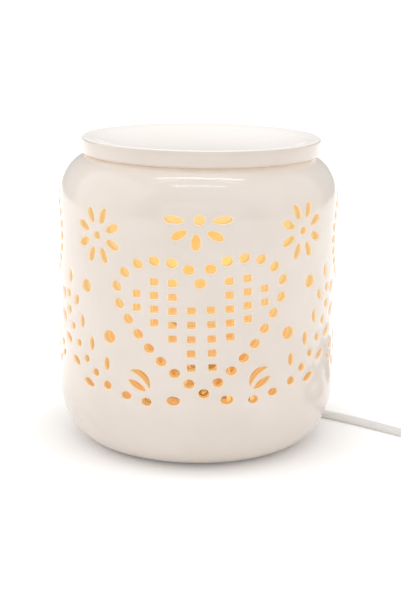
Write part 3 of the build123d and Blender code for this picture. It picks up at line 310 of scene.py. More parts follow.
def dot_outline(width, height):
    count = 22 if width * height > MANY_POINTS_AREA else 16
    angles = [2 * math.pi * k / count for k in range(count)]
    return [(width / 2 * math.cos(a), height / 2 * math.sin(a)) for a in angles]


def square_outline(width, height):
    steps = 3
    points = []
    for quarter, (sx, sy) in enumerate(((1, 1), (-1, 1), (-1, -1), (1, -1))):
        for k in range(steps + 1):
            angle = math.pi / 2 * (quarter + k / steps)
            points.append((sx * (width / 2 - SQUARE_CORNER) + SQUARE_CORNER * math.cos(angle),
                           sy * (height / 2 - SQUARE_CORNER) + SQUARE_CORNER * math.sin(angle)))
    return points


def petal_outline(length, width):
    """An egg whose narrower end is at -X: two half ellipses that meet where it is widest."""
    widest = length * (PETAL_INNER_SHARE - 0.5)
    points = []
    for k in range(20):
        angle = 2 * math.pi * (k + 0.5) / 20
        reach = length * (1 - PETAL_INNER_SHARE if math.cos(angle) > 0 else PETAL_INNER_SHARE)
        points.append((widest + reach * math.cos(angle), width / 2 * math.sin(angle)))
    return points


def leaf_outline(length, width):
    lower = arc_through((-length / 2, 0), (0, -width / 2), (length / 2, 0), 9)
    upper = arc_through((length / 2, 0), (0, width / 2), (-length / 2, 0), 9)
    return lower + upper


def crescent_outline(length, width, sag):
    inner = arc_through((-length / 2, 0), (0, sag), (length / 2, 0), 11)
    outer = arc_through((length / 2, 0), (0, sag + width), (-length / 2, 0), 13)
    return inner + outer


# %% [markdown]
# The ornament is laid out as the potter pricked it: a heart of evenly spaced dots with columns of
# squares inside, half a flower over it, a flower on each side, sprays of dots and leaves between,
# and a ringed flower on each side of the jar. It was cut freehand, so it leans by a degree or two.
# The back of the jar is plain: no bright background shows through the front holes.

# %% Places of the holes
DOT = (4.9 * MM, 4.1 * MM)
SQUARE = (3.75 * MM, 3.1 * MM)
SQUARE_PITCH = 8.1 * MM
SQUARE_SHIFT = 1.65 * MM
COLUMN_LEANS = (2.2, 0.5)      # degrees, right and left of the middle
PETAL = (7.2 * MM, 3.6 * MM)
FLOWER_RADIUS = 9.2 * MM
FLOWER_DOT_SHARE = 0.84
LEAF = (6.6 * MM, 3.2 * MM)
CRESCENT = (11.6 * MM, 3.0 * MM, 1.1 * MM)
MEDALLION_RADIUS = 22.5 * MM
MEDALLION_DOT = 3.5 * MM
SHIFT = 1.3 * MM
FLOWER_SHIFT = 2.8 * MM
LEAN = 1.6
HEART_LEAN = 2.6
HEART_PIVOT = 0.660            # shares of the jar's height that the heart and the sprays turn about
SPRAY_PIVOT = 0.45
CORD_HOLE = (11.3 * MM, 10.0 * MM)
HEART_LEVEL_REACH = 10.0 * MM  # within this the heart's dots lie level
HEART_DOT_TURN = 1.35          # degrees that a dot turns for each millimetre beyond it
HEART_STEPS = 14
FINE_STEPS = 40                # points between two keys, from which the even ones are taken
MEDALLION_DOTS = 26

heart_shares = [(0.000, 0.646), (0.046, 0.692), (0.118, 0.714), (0.288, 0.702), (0.376, 0.620),
                (0.322, 0.525), (0.178, 0.389), (0.000, 0.280)]
square_column_shares = [(0.558, 0.0476, 5), (0.649, 0.0459, 5), (0.653, 0.0449, 4), (0.612, 0.0456, 2)]
stem_shares = [
    (0.115, 0.255, 1.22, 0.98), (0.234, 0.247, 0.96, 0.88), (0.330, 0.261, 1.02, 0.86),
    (0.429, 0.285, 0.92, 0.92), (0.496, 0.320, 0.82, 0.86), (0.556, 0.359, 0.76, 0.84),
    (0.612, 0.405, 0.72, 0.84), (0.660, 0.456, 0.72, 0.84), (0.695, 0.509, 0.74, 0.86),
    (0.699, 0.565, 0.74, 0.86), (0.546, 0.609, 1.28, 1.40), (0.411, 0.452, 1.28, 1.40),
]
leaf_shares = [
    (0.428, 0.359, 90, 1.00, 0.95), (0.517, 0.417, 90, 1.05, 1.00), (0.582, 0.484, 92, 1.00, 1.00),
    (0.625, 0.551, 118, 0.85, 1.05), (0.677, 0.626, 92, 0.95, 0.95),
    (0.543, 0.279, 16, 1.15, 1.05), (0.637, 0.341, 26, 1.05, 1.05), (0.705, 0.409, 35, 1.05, 1.00),
    (0.754, 0.480, 54, 1.00, 0.95), (0.754, 0.560, 62, 0.90, 0.90), (0.276, 0.300, 28, 1.52, 0.98),
]
crescent_share = (0.263, 0.320, 40)
half_flower_share = (0.007, 0.8495)
half_petal_shares = [(0.098, 0.000, 5, 1.15, 0.88), (-0.107, 0.000, 175, 1.15, 0.88),
                     (-0.084, -0.048, 207, 0.99, 0.98), (0.068, -0.050, 335, 1.03, 1.00),
                     (-0.013, -0.071, 268, 0.95, 1.11)]
flower_share = (0.482, 0.785)
MEDALLION_SHARE = 0.734
side_dot_shares = [(0.941, 0.311, 0), (0.862, 0.339, 0), (0.775, 0.364, 0)]
side_leaf_shares = [(0.839, 0.385, 90), (0.922, 0.358, 90), (0.759, 0.328, 148),
                    (0.816, 0.299, 128), (0.902, 0.271, 112)]
SIDE_SIZE_SHARE = 0.75


def leaned(share, pivot_share, lean, shift=SHIFT):
    """A place in the flat wall from a pair of shares, turned with the freehand ornament."""
    across = share[0] * QUARTER
    up = (share[1] - pivot_share) * JAR_HEIGHT
    angle = math.radians(lean)
    along = across * math.cos(angle) - up * math.sin(angle) + shift
    return along, RING_Z + pivot_share * JAR_HEIGHT + across * math.sin(angle) + up * math.cos(angle)


def placed(outline, place, spin=0.0, panel=0.0):
    """An outline turned by an angle and moved to its place in the flat wall."""
    c, s = math.cos(math.radians(spin)), math.sin(math.radians(spin))
    x0 = place[0] + panel * QUARTER / 90
    return [(x0 + x * c - y * s, place[1] + x * s + y * c) for x, y in outline]


def even_points(keys, count):
    """Points evenly spaced along the smooth curve through the keys."""
    keys = [np.array(k) for k in keys]
    lengths = [0.0]
    for a, b in zip(keys, keys[1:]):
        lengths.append(lengths[-1] + np.linalg.norm(b - a))
    slopes = natural_slopes(lengths, keys)
    fine = []
    for i in range(len(keys) - 1):
        h = lengths[i + 1] - lengths[i]
        for k in range(FINE_STEPS):
            t = k / FINE_STEPS
            fine.append((2 * t ** 3 - 3 * t ** 2 + 1) * keys[i] + (t ** 3 - 2 * t ** 2 + t) * h * slopes[i]
                        + (3 * t ** 2 - 2 * t ** 3) * keys[i + 1] + (t ** 3 - t ** 2) * h * slopes[i + 1])
    fine.append(keys[-1])
    walked = np.concatenate([[0], np.cumsum(np.linalg.norm(np.diff(fine, axis=0), axis=1))])
    return [tuple(np.interp(walked[-1] * k / count, walked, [p[axis] for p in fine]) for axis in (0, 1))
            for k in range(count + 1)]


def natural_slopes(lengths, keys):
    """Slopes at the keys of the smoothest cubic curve through them."""
    n = len(keys)
    matrix, right = np.zeros((n, n)), np.zeros((n, 2))
    matrix[0, 0], matrix[0, 1] = 2, 1
    matrix[-1, -1], matrix[-1, -2] = 2, 1
    right[0] = 3 * (keys[1] - keys[0]) / (lengths[1] - lengths[0])
    right[-1] = 3 * (keys[-1] - keys[-2]) / (lengths[-1] - lengths[-2])
    for i in range(1, n - 1):
        a, b = lengths[i] - lengths[i - 1], lengths[i + 1] - lengths[i]
        matrix[i, i - 1], matrix[i, i], matrix[i, i + 1] = b, 2 * (a + b), a
        right[i] = 3 * (b * (keys[i] - keys[i - 1]) / a + a * (keys[i + 1] - keys[i]) / b)
    return np.linalg.solve(matrix, right)


def flower(place, petals, panel=0.0, dot_share=1.0):
    """A dot with petals around it. Each petal is an offset, a spin, and shares of length and width."""
    holes = [placed(dot_outline(*np.multiply(dot_share, DOT)), place, 0, panel)]
    for across, up, spin, *shares in petals:
        petal = petal_outline(*np.multiply(shares, PETAL))
        holes.append(placed(petal, (place[0] + across, place[1] + up), spin, panel))
    return holes


def ring_petals(first):
    """Eight petals evenly round a flower, from a first angle."""
    petals = []
    for spin in (first + 45 * k for k in range(8)):
        angle = math.radians(spin)
        petals.append((FLOWER_RADIUS * math.cos(angle), FLOWER_RADIUS * math.sin(angle), spin, 1, 1))
    return petals


def heart():
    """The heart's dots and the squares inside it."""
    holes = []
    keys = [(s * QUARTER, z * JAR_HEIGHT) for s, z in heart_shares]
    for step, (x, z) in enumerate(even_points(keys, HEART_STEPS)):
        for side in ((1, -1) if 0 < step < HEART_STEPS else (1,)):
            place = leaned((side * x / QUARTER, z / JAR_HEIGHT), HEART_PIVOT, HEART_LEAN)
            spin = side * HEART_DOT_TURN * max(0.0, x - HEART_LEVEL_REACH) / MM
            holes.append(placed(dot_outline(*DOT), place, spin))
    for column, (top, pitch, count) in enumerate(square_column_shares):
        for row in range(count):
            up = (top - row * pitch - HEART_PIVOT) * JAR_HEIGHT
            for side, lean in zip((1, -1), COLUMN_LEANS):
                across = side * (column + 0.5) * SQUARE_PITCH
                place = (across + SQUARE_SHIFT - up * math.sin(math.radians(lean)),
                         RING_Z + HEART_PIVOT * JAR_HEIGHT + up + across * math.sin(math.radians(HEART_LEAN)))
                holes.append(placed(square_outline(*SQUARE), place, HEART_LEAN))
    return holes


def sprays():
    """Stem dots, leaves and new moons on both sides of the heart."""
    shapes = [(s, z, None, dot_outline(*np.multiply(shares, DOT))) for s, z, *shares in stem_shares]
    shapes += [(s, z, tilt, leaf_outline(*np.multiply(shares, LEAF))) for s, z, tilt, *shares in leaf_shares]
    shapes.append((*crescent_share, crescent_outline(*CRESCENT)))
    return [placed(outline, leaned((side * s, z), SPRAY_PIVOT, LEAN),
                   0 if tilt is None else side * tilt + LEAN)
            for side in (1, -1) for s, z, tilt, outline in shapes]


def side_ornament(panel):
    """A flower ringed with dots, and the small spray under it."""
    middle_z = RING_Z + MEDALLION_SHARE * JAR_HEIGHT
    holes = flower((0.0, middle_z), ring_petals(0.0), panel, FLOWER_DOT_SHARE)
    for k in range(MEDALLION_DOTS):
        angle = 2 * math.pi * k / MEDALLION_DOTS
        place = (MEDALLION_RADIUS * math.cos(angle), middle_z + MEDALLION_RADIUS * math.sin(angle))
        holes.append(placed(dot_outline(MEDALLION_DOT, MEDALLION_DOT), place, 0, panel))
    dot = dot_outline(*np.multiply(SIDE_SIZE_SHARE, DOT))
    leaf = leaf_outline(*np.multiply(SIDE_SIZE_SHARE, LEAF))
    for side in (1, -1):
        for outline, shares in ((dot, side_dot_shares), (leaf, side_leaf_shares)):
            for s, z, tilt in shares:
                place = (side * (1 - s) * QUARTER, RING_Z + z * JAR_HEIGHT)
                holes.append(placed(outline, place, -side * tilt, panel))
    return holes


def all_holes():
    holes = heart() + sprays()
    half_petals = [(s * QUARTER, z * JAR_HEIGHT, *rest) for s, z, *rest in half_petal_shares]
    half_place = (half_flower_share[0] * QUARTER, RING_Z + half_flower_share[1] * JAR_HEIGHT)
    holes += flower(half_place, half_petals)
    for side in (1, -1):
        place = leaned((side * flower_share[0], flower_share[1]), SPRAY_PIVOT, LEAN, FLOWER_SHIFT)
        holes += flower(place, ring_petals(22.5 + LEAN), dot_share=FLOWER_DOT_SHARE)
    holes += side_ornament(90) + side_ornament(270)
    return [*holes, placed(dot_outline(*CORD_HOLE), (0, CORD_HEIGHT), 0, 180)]


holes = all_holes()
print("holes through the wall", len(holes))

# %% [markdown]
# A flat wall needs even triangles everywhere, or the glaze would shade in streaks. A constrained
# triangulation takes the hole edges as given and fills the rest with a regular grid of points. The
# wall closes on itself, so it is triangulated as a flat ring, where one turn of the ring is one turn
# round the jar. The ring's radius grows so that small shapes keep their form.


# %% Triangulate the wall between the holes
LEAST_COSINE = 0.6              # keeps a sharp corner from growing into a spike
FIRST_ROWS = (0.7 * MM, 1.8 * MM, 3.4 * MM)
ROW_SHARE = 0.87                # of the pitch, between two staggered rows
SAME_POINT = 1e-7


def unit(vectors):
    return vectors / np.linalg.norm(vectors, axis=1)[:, None]


def grown(outline, distance):
    """An outline moved outwards along its corner bisectors."""
    points = np.array(outline)
    edges = (np.roll(points, -1, axis=0) - points, points - np.roll(points, 1, axis=0))
    out_a, out_b = (unit(np.stack([edge[:, 1], -edge[:, 0]], axis=1)) for edge in edges)
    middle = unit(out_a + out_b)
    cosine = np.maximum(np.sum(middle * out_a, axis=1), LEAST_COSINE)
    return points + middle * (distance / cosine)[:, None]


def ring_place(points):
    """Flat wall points on the triangulation's ring, turning clockwise so that shapes keep their sense."""
    points = np.asarray(points)
    angle = -points[:, 0] / JAR_RADIUS
    reach = np.exp(points[:, 1] / JAR_RADIUS)
    return np.stack([reach * np.cos(angle), reach * np.sin(angle)], axis=1)


def grid_points(pitch, keep_off, outlines):
    """Staggered points between the belt's edges, no nearer to an outline than keep_off."""
    girth = 4 * QUARTER
    columns = int(girth / pitch)
    heights = [BELT_LOW + up for up in FIRST_ROWS]
    rows = int((BELT_HIGH - heights[-1]) / (pitch * ROW_SHARE))
    heights += [heights[-1] + (BELT_HIGH - heights[-1]) * (k + 1) / rows for k in range(rows - 1)]
    points = np.array([((k + 0.5 * (row % 2)) * girth / columns - girth / 2, z)
                       for row, z in enumerate(heights) for k in range(columns)])
    keep = np.ones(len(points), bool)
    for outline in outlines:
        outline = np.array(outline)
        centre = outline.mean(axis=0)
        reach = np.max(np.linalg.norm(outline - centre, axis=1)) + keep_off
        offset = points - centre
        offset[:, 0] = (offset[:, 0] + girth / 2) % girth - girth / 2
        near = np.where(np.linalg.norm(offset, axis=1) < reach)[0]
        if len(near) == 0:
            continue
        local = outline - centre
        a, b = local[None, :, :], np.roll(local, -1, axis=0)[None, :, :]
        p = offset[near][:, None, :]
        along = np.clip(np.sum((p - a) * (b - a), axis=2) / np.sum((b - a) ** 2, axis=2), 0, 1)
        gap = np.min(np.linalg.norm(p - a - along[:, :, None] * (b - a), axis=2), axis=1)
        cross = (a[:, :, 1] > p[:, :, 1]) != (b[:, :, 1] > p[:, :, 1])
        with np.errstate(divide="ignore", invalid="ignore"):
            at = a[:, :, 0] + (p[:, :, 1] - a[:, :, 1]) * (b - a)[:, :, 0] / (b - a)[:, :, 1]
        inside = np.sum(cross & (p[:, :, 0] < at), axis=1) % 2 == 1
        keep[near[(gap < keep_off) | inside]] = False
    return points[keep]


def boundary_ring(z):
    girth = 4 * QUARTER
    return [((k / SEGMENTS) * girth - girth / 2, z) for k in range(SEGMENTS)]


def wall_sheet(outlines, pitch, keep_off):
    """Vertices and triangles of the belt outside the outlines. The outlines come first, in order."""
    loops = [np.array(o) for o in (*outlines, boundary_ring(BELT_LOW), boundary_ring(BELT_HIGH))]
    flat = np.concatenate([*loops, grid_points(pitch, keep_off, outlines)])
    planar = ring_place(flat)
    edges, faces, start = [], [], 0
    for number, loop in enumerate(loops):
        loop_ids = list(range(start, start + len(loop)))
        edges += list(zip(loop_ids, loop_ids[1:] + loop_ids[:1]))
        if number < len(loops) - 2:
            faces.append(loop_ids)
        elif number == len(loops) - 2:
            faces.append(loop_ids[::-1])
        start += len(loop)
    _, _, triangles, old_ids, _, inside_of = delaunay_2d_cdt([Vector(p) for p in planar], edges, faces,
                                                             0, SAME_POINT)
    assert all(len(o) for o in old_ids), "two hole edges cross"
    place_of = np.array([o[0] for o in old_ids])
    kept = [[place_of[v] for v in tri] for tri, owners in zip(triangles, inside_of) if not owners]
    return flat, np.array(kept)


# %% [markdown]
# The slab's depth runs from 0 on the outside to 1 on the inside. Each hole gets a rim: the outline
# at several depths, spread near both faces into a quarter round. The same outlines bound the two
# sheets, so the rims close the slab with no seam. Each point also stores how strongly the lamp's
# light shows there: all of it inside, and a little on the lip, where it creeps through the glaze.

# %% Build the pierced slab
OUTER_GRID = (2.7 * MM, 1.3 * MM)   # pitch of the points between the holes, and how far they keep off
INNER_GRID = (3.3 * MM, 1.2 * MM)
ROUNDING_DEGREES = (0, 30, 60, 90)
ROUNDING_LIGHT = (0.02, 0.14, 0.3, 0.62)


def store_light(mesh, values):
    """Stores on each point how strongly the lamp's light shows there."""
    mesh.attributes.new("lamp_light", "FLOAT", "POINT").data.foreach_set("value", values)


def rim_rows():
    """(spread, depth, light) of each row of a hole's rim, from the outer sheet to the inner one."""
    rows = []
    for degrees, light in zip(ROUNDING_DEGREES, ROUNDING_LIGHT):
        angle = math.radians(degrees)
        rows.append((LIP * (1 - math.sin(angle)), LIP * (1 - math.cos(angle)) / WALL, light))
    rows += [(0.0, 1 - LIP / WALL, 1.0), (0.3 * LIP, 1 - 0.3 * LIP / WALL, 1.0), (LIP, 1.0, 1.0)]
    return rows


def at_depth(points, depth):
    return np.stack([points[:, 0], np.full(len(points), depth), points[:, 1]], axis=1)


def band(above, below):
    """Four-sided faces between two closed rows of points."""
    return np.stack([above, np.roll(above, -1), np.roll(below, -1), below], axis=1)


def pierced_slab():
    """A mesh of the flat wall: x along the wall, y the depth from 0 to 1, z the height."""
    rows = rim_rows()
    (flat_out, tris_out), (flat_in, tris_in) = (
        wall_sheet([grown(hole, row[0]) for hole in holes], *grid)
        for row, grid in ((rows[0], OUTER_GRID), (rows[-1], INNER_GRID)))
    places = [at_depth(flat_out, 0.0), at_depth(flat_in, 1.0)]
    lights = [np.zeros(len(flat_out)), np.ones(len(flat_in))]
    faces = [tris_out[:, ::-1], tris_in + len(flat_out)]
    total = len(flat_out) + len(flat_in)
    start_out, start_in = 0, len(flat_out)
    for hole in holes:
        count = len(hole)
        above = np.arange(start_out, start_out + count)
        for spread, depth, light in rows[1:-1]:
            places.append(at_depth(grown(hole, spread), depth))
            lights.append(np.full(count, light))
            below = np.arange(total, total + count)
            faces.append(band(above, below))
            above, total = below, total + count
        faces.append(band(above, np.arange(start_in, start_in + count)))
        start_out, start_in = start_out + count, start_in + count
    mesh = bpy.data.meshes.new("pierced_slab")
    all_faces = [list(map(int, f)) for group in faces for f in group]
    mesh.from_pydata(np.concatenate(places).tolist(), [], all_faces)
    store_light(mesh, np.concatenate(lights))
    return new_object("pierced_wall", mesh)


pierced_wall = pierced_slab()
print("slab", len(pierced_wall.data.vertices), "points", len(pierced_wall.data.polygons), "faces")

# %% [markdown]
# Geometry Nodes wrap the slab round the jar. A turned pot is a rule: at each height its wall has one
# radius, straight in the middle and drawn in along an ellipse at the foot and at the shoulder. The
# tree works out that radius for the outside and the inside, mixes the two by depth, and turns the
# distance along the wall into an angle. Its inputs are the pot's own sizes, so another pot needs only
# other numbers.


# %% Wrap tree
def drawn_in(tree, past, rise, reach):
    """How far an elliptical corner of a given rise and reach draws the wall in, past its start."""
    begun = maths(tree, "MAXIMUM", past, 0.0)
    share = maths(tree, "DIVIDE", begun, rise)
    square = maths(tree, "MULTIPLY", share, share)
    left = maths(tree, "SUBTRACT", 1.0, square, use_clamp=True)
    root = maths(tree, "SQRT", left)
    fall = maths(tree, "SUBTRACT", 1.0, root)
    return maths(tree, "MULTIPLY", fall, reach)


def geometry_tree(name, values):
    """A geometry tree with an input for each named value, and what it is given."""
    tree = bpy.data.node_groups.new(name, "GeometryNodeTree")
    tree.interface.new_socket("Geometry", in_out="INPUT", socket_type="NodeSocketGeometry")
    for key, value in values.items():
        kind = "NodeSocketInt" if isinstance(value, int) else "NodeSocketFloat"
        tree.interface.new_socket(key, in_out="INPUT", socket_type=kind)
    tree.interface.new_socket("Geometry", in_out="OUTPUT", socket_type="NodeSocketGeometry")
    return tree, add_node(tree, "NodeGroupInput").outputs


def end_tree(tree, geometry, material):
    """Makes a tree's instances real, paints them, and puts them out."""
    real = add_node(tree, "GeometryNodeRealizeInstances", {0: geometry})
    painted = add_node(tree, "GeometryNodeSetMaterial", {"Geometry": real, "Material": material})
    add_node(tree, "NodeGroupOutput", {0: painted})
    return tree


def wrap_tree(values, material):
    """The tree that bends the flat slab round the jar."""
    tree, given = geometry_tree("wrap_round_jar", values)
    point = add_node(tree, "GeometryNodeInputPosition")
    place = add_node(tree, "ShaderNodeSeparateXYZ", {0: point}).outputs
    below = maths(tree, "SUBTRACT", given["Corner Height"], place["Z"])
    above = maths(tree, "SUBTRACT", place["Z"], given["Shoulder Height"])
    radii = []
    for skin in ("Outer", "Inner"):
        foot = drawn_in(tree, below, given[f"{skin} Corner Rise"], given[f"{skin} Corner Reach"])
        top = drawn_in(tree, above, given[f"{skin} Shoulder Rise"], given[f"{skin} Shoulder Reach"])
        drawn = maths(tree, "ADD", foot, top)
        radii.append(maths(tree, "SUBTRACT", given[f"{skin} Radius"], drawn))
    radius = add_node(tree, "ShaderNodeMix", {0: place["Y"], 2: radii[0], 3: radii[1]})
    angle = maths(tree, "DIVIDE", place["X"], given["Girth Radius"])
    sine = maths(tree, "SINE", angle)
    cosine = maths(tree, "COSINE", angle)
    x = maths(tree, "MULTIPLY", radius, sine)
    back = maths(tree, "MULTIPLY", radius, cosine)
    y = maths(tree, "MULTIPLY", back, -1.0)
    wrapped = add_node(tree, "ShaderNodeCombineXYZ", {"X": x, "Y": y, "Z": place["Z"]})
    moved = add_node(tree, "GeometryNodeSetPosition", {"Geometry": given["Geometry"], "Position": wrapped})
    return end_tree(tree, moved, material)


def run_nodes(obj, tree, values, name):
    """Runs a tree on an object with named values and returns the result as a plain mesh object."""
    modifier = obj.modifiers.new("nodes", "NODES")
    modifier.node_group = tree
    sockets = {item.name: item.identifier for item in tree.interface.items_tree if item.in_out == "INPUT"}
    for key, value in values.items():
        modifier[sockets[key]] = value
    evaluated = obj.evaluated_get(bpy.context.evaluated_depsgraph_get())
    mesh = bpy.data.meshes.new_from_object(evaluated)
    bpy.data.objects.remove(obj)
    return new_object(name, mesh)


# %% [markdown]
# Glaze is a thin layer of glass over a pale clay. It gives a sharp, even reflection over a warm white
# body, with a faint orange-peel ripple from the firing and slight changes of tone where it pooled.
# The lamp's light is painted on as a glow: on the inside, over a darker painted shade, as a pale warm
# tint and glow in the thin glaze round each hole, and a little in the dish. The light is yellow at the
# top, near the lamp's front, and turns to orange towards the foot.


# %% Glazed ceramic
GLAZE_BODY = "#F0E6DD"
GLAZE_POOLED = "#EBE1D7"
DISH_BODY = "#EBE0D6"
DISH_POOLED = "#E6DBD0"
# Painted glow: the paler warm base colour of the lips round the jar's holes.
JAR_LIP_GLOW = "#FBE6CF"
# Painted light: the dish's bowl is painted whiter, standing partly for the light it catches from above.
DISH_BOWL_GLOW = "#FDFBF9"
LIGHT_TOP = "#F8D994"
LIGHT_MIDDLE = "#E8B874"
LIGHT_LOW = "#A8683A"
LIGHT_IN_GLAZE = "#FFE2B2"
LIGHT_IN_DISH = "#FFEFDA"
# Painted shade: the inside of the jar gets a dark brown base colour under its painted glow.
INNER_PAINTED_SHADE = "#8A6A4A"
LIGHT_HEIGHTS = (2 * MM, 74 * MM)
LAMP_STRENGTH = 0.77
POOL_WIDTH = 26 * MM
RIPPLE_WIDTH = 7 * MM
RIPPLE_DEPTH = 0.12 * MM


def lamp_colour(tree, place):
    """The lamp's colour by height: yellow above, orange below."""
    height = add_node(tree, "ShaderNodeSeparateXYZ", {0: place}).outputs["Z"]
    share = stretched(tree, height, *LIGHT_HEIGHTS)
    colours = add_node(tree, "ShaderNodeValToRGB", {"Fac": share})
    stops = colours.color_ramp.elements
    stops[0].color = linear(LIGHT_LOW)
    stops[1].color = linear(LIGHT_TOP)
    stops.new(0.5).color = linear(LIGHT_MIDDLE)
    return colours


def glazed_ceramic(name, body, pooled, glow_tint, light_through):
    """White stoneware under a clear, faintly pooled glaze, with the lamp's light painted on where it is
    stored.
    """
    material, tree, shader, place = new_material(name, roughness=0.12, ior=1.52)
    pooling = noise(tree, place, POOL_WIDTH, 3.0)
    share = stretched(tree, pooling, 0.35, 0.7)
    glaze = blend(tree, share, body, pooled)
    light = add_node(tree, "ShaderNodeAttribute", attribute_name="lamp_light").outputs["Fac"]
    seen = stretched(tree, light, 0.35, 0.8)
    # Painted light: where a little lamp light is stored, on the lips and in the dish's bowl, the base colour
    # is tinted towards a glow.
    edge = stretched(tree, light, 0.0, 0.3)
    thin = blend(tree, edge, glaze, glow_tint)
    # Inside the jar the base colour turns to the painted shade.
    inner = blend(tree, seen, thin, INNER_PAINTED_SHADE)
    ripple = noise(tree, place, RIPPLE_WIDTH, Roughness=0.35)
    relief = add_node(tree, "ShaderNodeBump", {"Distance": RIPPLE_DEPTH, "Height": ripple})
    colour = lamp_colour(tree, place)
    tone = blend(tree, seen, light_through, colour)
    level = stretched(tree, light, 0.1, 1.0)
    glow = blend(tree, level, "#000000", tone)
    dry = stretched(tree, seen, 0.0, 1.0, 0.12, 0.75)
    feed(tree, shader, {"Base Color": inner, "Normal": relief, "Roughness": dry,
                        "Emission Color": glow, "Emission Strength": LAMP_STRENGTH})
    return material


jar_glaze = glazed_ceramic("clear_glazed_stoneware", GLAZE_BODY, GLAZE_POOLED, JAR_LIP_GLOW, LIGHT_IN_GLAZE)

# %% [markdown]
# The belt is wrapped, and the rest of the jar is turned like a pot: the shoulder and mouth above the
# belt, the foot ring, floor and its opening below. Both share the belt's edge points, so that merging
# them closes the jar into one solid skin.


# %% The jar
def ellipse_points(centre_r, centre_z, reach, rise, first, last, count):
    """Profile points on an ellipse, its angles in degrees from the outside upwards."""
    angles = [math.radians(first + (last - first) * k / count) for k in range(count + 1)]
    return [(centre_r + reach * math.cos(a), centre_z + rise * math.sin(a)) for a in angles]


def belt_angle(z, centre_z, rise):
    return math.degrees(math.asin((z - centre_z) / rise))


def ring_skin(name, rings):
    """A mesh whose faces run from ring to ring of points. A ring of one point closes an end."""
    mesh = bmesh.new()
    rings = [[mesh.verts.new(point) for point in ring] for ring in rings]
    count = max(map(len, rings))
    for a, b in zip(rings, rings[1:]):
        for k, after in zip(range(count), [*range(1, count), 0]):
            corners = [a[k % len(a)], a[after % len(a)], b[after % len(b)], b[k % len(b)]]
            unique = list(dict.fromkeys(corners))
            if len(unique) > 2:
                mesh.faces.new(unique)
    return new_object(name, mesh)


def turned_shell(name, profile):
    """A mesh made by turning (radius, height) points round Z. Points on the axis close it."""
    angles = [2 * math.pi * k / SEGMENTS - math.pi for k in range(SEGMENTS)]
    rings = []
    for radius, z in profile:
        around = angles if radius > SAME_POINT else angles[:1]
        rings.append([(radius * math.sin(a), -radius * math.cos(a), z) for a in around])
    return ring_skin(name, rings)


def joined(name, parts, merge=0.01 * MM):
    """Parts merged into one mesh with its faces pointing outwards."""
    mesh = bmesh.new()
    for part in parts:
        mesh.from_mesh(part.data)
        bpy.data.objects.remove(part)
    bmesh.ops.remove_doubles(mesh, verts=mesh.verts, dist=merge)
    bmesh.ops.recalc_face_normals(mesh, faces=mesh.faces)
    open_edges = sum(1 for e in mesh.edges if not e.is_manifold)
    obj = new_object(name, mesh)
    print(name, "faces", len(obj.data.polygons), "open edges", open_edges)
    return obj


def smooth(obj):
    for face in obj.data.polygons:
        face.use_smooth = True
    return obj


def round_corner(centre, radius, first, last, count=4):
    """Profile points of a small round edge."""
    return ellipse_points(centre[0], centre[1], radius, radius, first, last, count)


EDGE = 1.2 * MM
CHAMFER = 0.6 * MM
wrap_values = {"Girth Radius": JAR_RADIUS, "Corner Height": CORNER_Z, "Shoulder Height": SHOULDER_Z}
for skin, radius, corner_rise, shoulder_rise in (
        ("Outer", JAR_RADIUS, CORNER_Z - RING_Z, TOP_Z - SHOULDER_Z),
        ("Inner", INNER_RADIUS, CORNER_Z - FLOOR_TOP_Z, CEILING_Z - SHOULDER_Z)):
    wrap_values |= {f"{skin} Radius": radius,
                    f"{skin} Corner Rise": corner_rise, f"{skin} Corner Reach": radius - FOOT_RADIUS,
                    f"{skin} Shoulder Rise": shoulder_rise, f"{skin} Shoulder Reach": radius - MOUTH_OUTER}
outer_corner, outer_shoulder, inner_corner, inner_shoulder = (
    (wrap_values[f"{part} Reach"], wrap_values[f"{part} Rise"])
    for part in ("Outer Corner", "Outer Shoulder", "Inner Corner", "Inner Shoulder"))

top_profile = [
    *ellipse_points(MOUTH_OUTER, SHOULDER_Z, *outer_shoulder,
                    belt_angle(BELT_HIGH, SHOULDER_Z, outer_shoulder[1]), 90, 16),
    *round_corner((MOUTH_RADIUS + EDGE, TOP_Z - EDGE), EDGE, 90, 180),
    *round_corner((MOUTH_RADIUS + EDGE, CEILING_Z + EDGE), EDGE, 180, 270),
    *ellipse_points(MOUTH_OUTER, SHOULDER_Z, *inner_shoulder, 90,
                    belt_angle(BELT_HIGH, SHOULDER_Z, inner_shoulder[1]), 12),
]
ring_inner = FOOT_RADIUS - FOOT_WIDTH
bottom_profile = [
    *ellipse_points(FOOT_RADIUS, CORNER_Z, *inner_corner,
                    belt_angle(BELT_LOW, CORNER_Z, inner_corner[1]), -90, 4),
    *round_corner((FLOOR_OPENING + EDGE, FLOOR_TOP_Z - EDGE), EDGE, 90, 180),
    *round_corner((FLOOR_OPENING + EDGE, FLOOR_UNDER_Z + EDGE), EDGE, 180, 270),
    (ring_inner - CHAMFER, FLOOR_UNDER_Z), (ring_inner, FLOOR_UNDER_Z - CHAMFER),
    *round_corner((ring_inner + EDGE, RING_Z + EDGE), EDGE, 180, 270),
    (FOOT_RADIUS - 1.5 * MM, RING_Z),
    *ellipse_points(FOOT_RADIUS, CORNER_Z, *outer_corner, -90,
                    belt_angle(BELT_LOW, CORNER_Z, outer_corner[1]), 18),
]
belt = run_nodes(pierced_wall, wrap_tree(wrap_values, jar_glaze), wrap_values, "belt")
mouth_part = turned_shell("mouth_part", top_profile)
foot_part = turned_shell("foot_part", bottom_profile)


# The lamp's light on the rings of each profile, from its first ring to its last.
for part, profile, starts, rest in ((mouth_part, top_profile, [0.0] * 19 + [0.4] * 3, 1.0),
                                    (foot_part, bottom_profile, [1.0] * 7 + [0.5] * 2, 0.0)):
    store_light(part.data, np.repeat(starts + [rest] * (len(profile) - len(starts)), SEGMENTS))
jar = smooth(joined("jar", [belt, mouth_part, foot_part]))
jar.data.materials.clear()
jar.data.materials.append(jar_glaze)
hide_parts("ceramic_body")
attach(jar, "lamp_base")
print("jar triangles", sum(len(f.vertices) - 2 for f in jar.data.polygons))
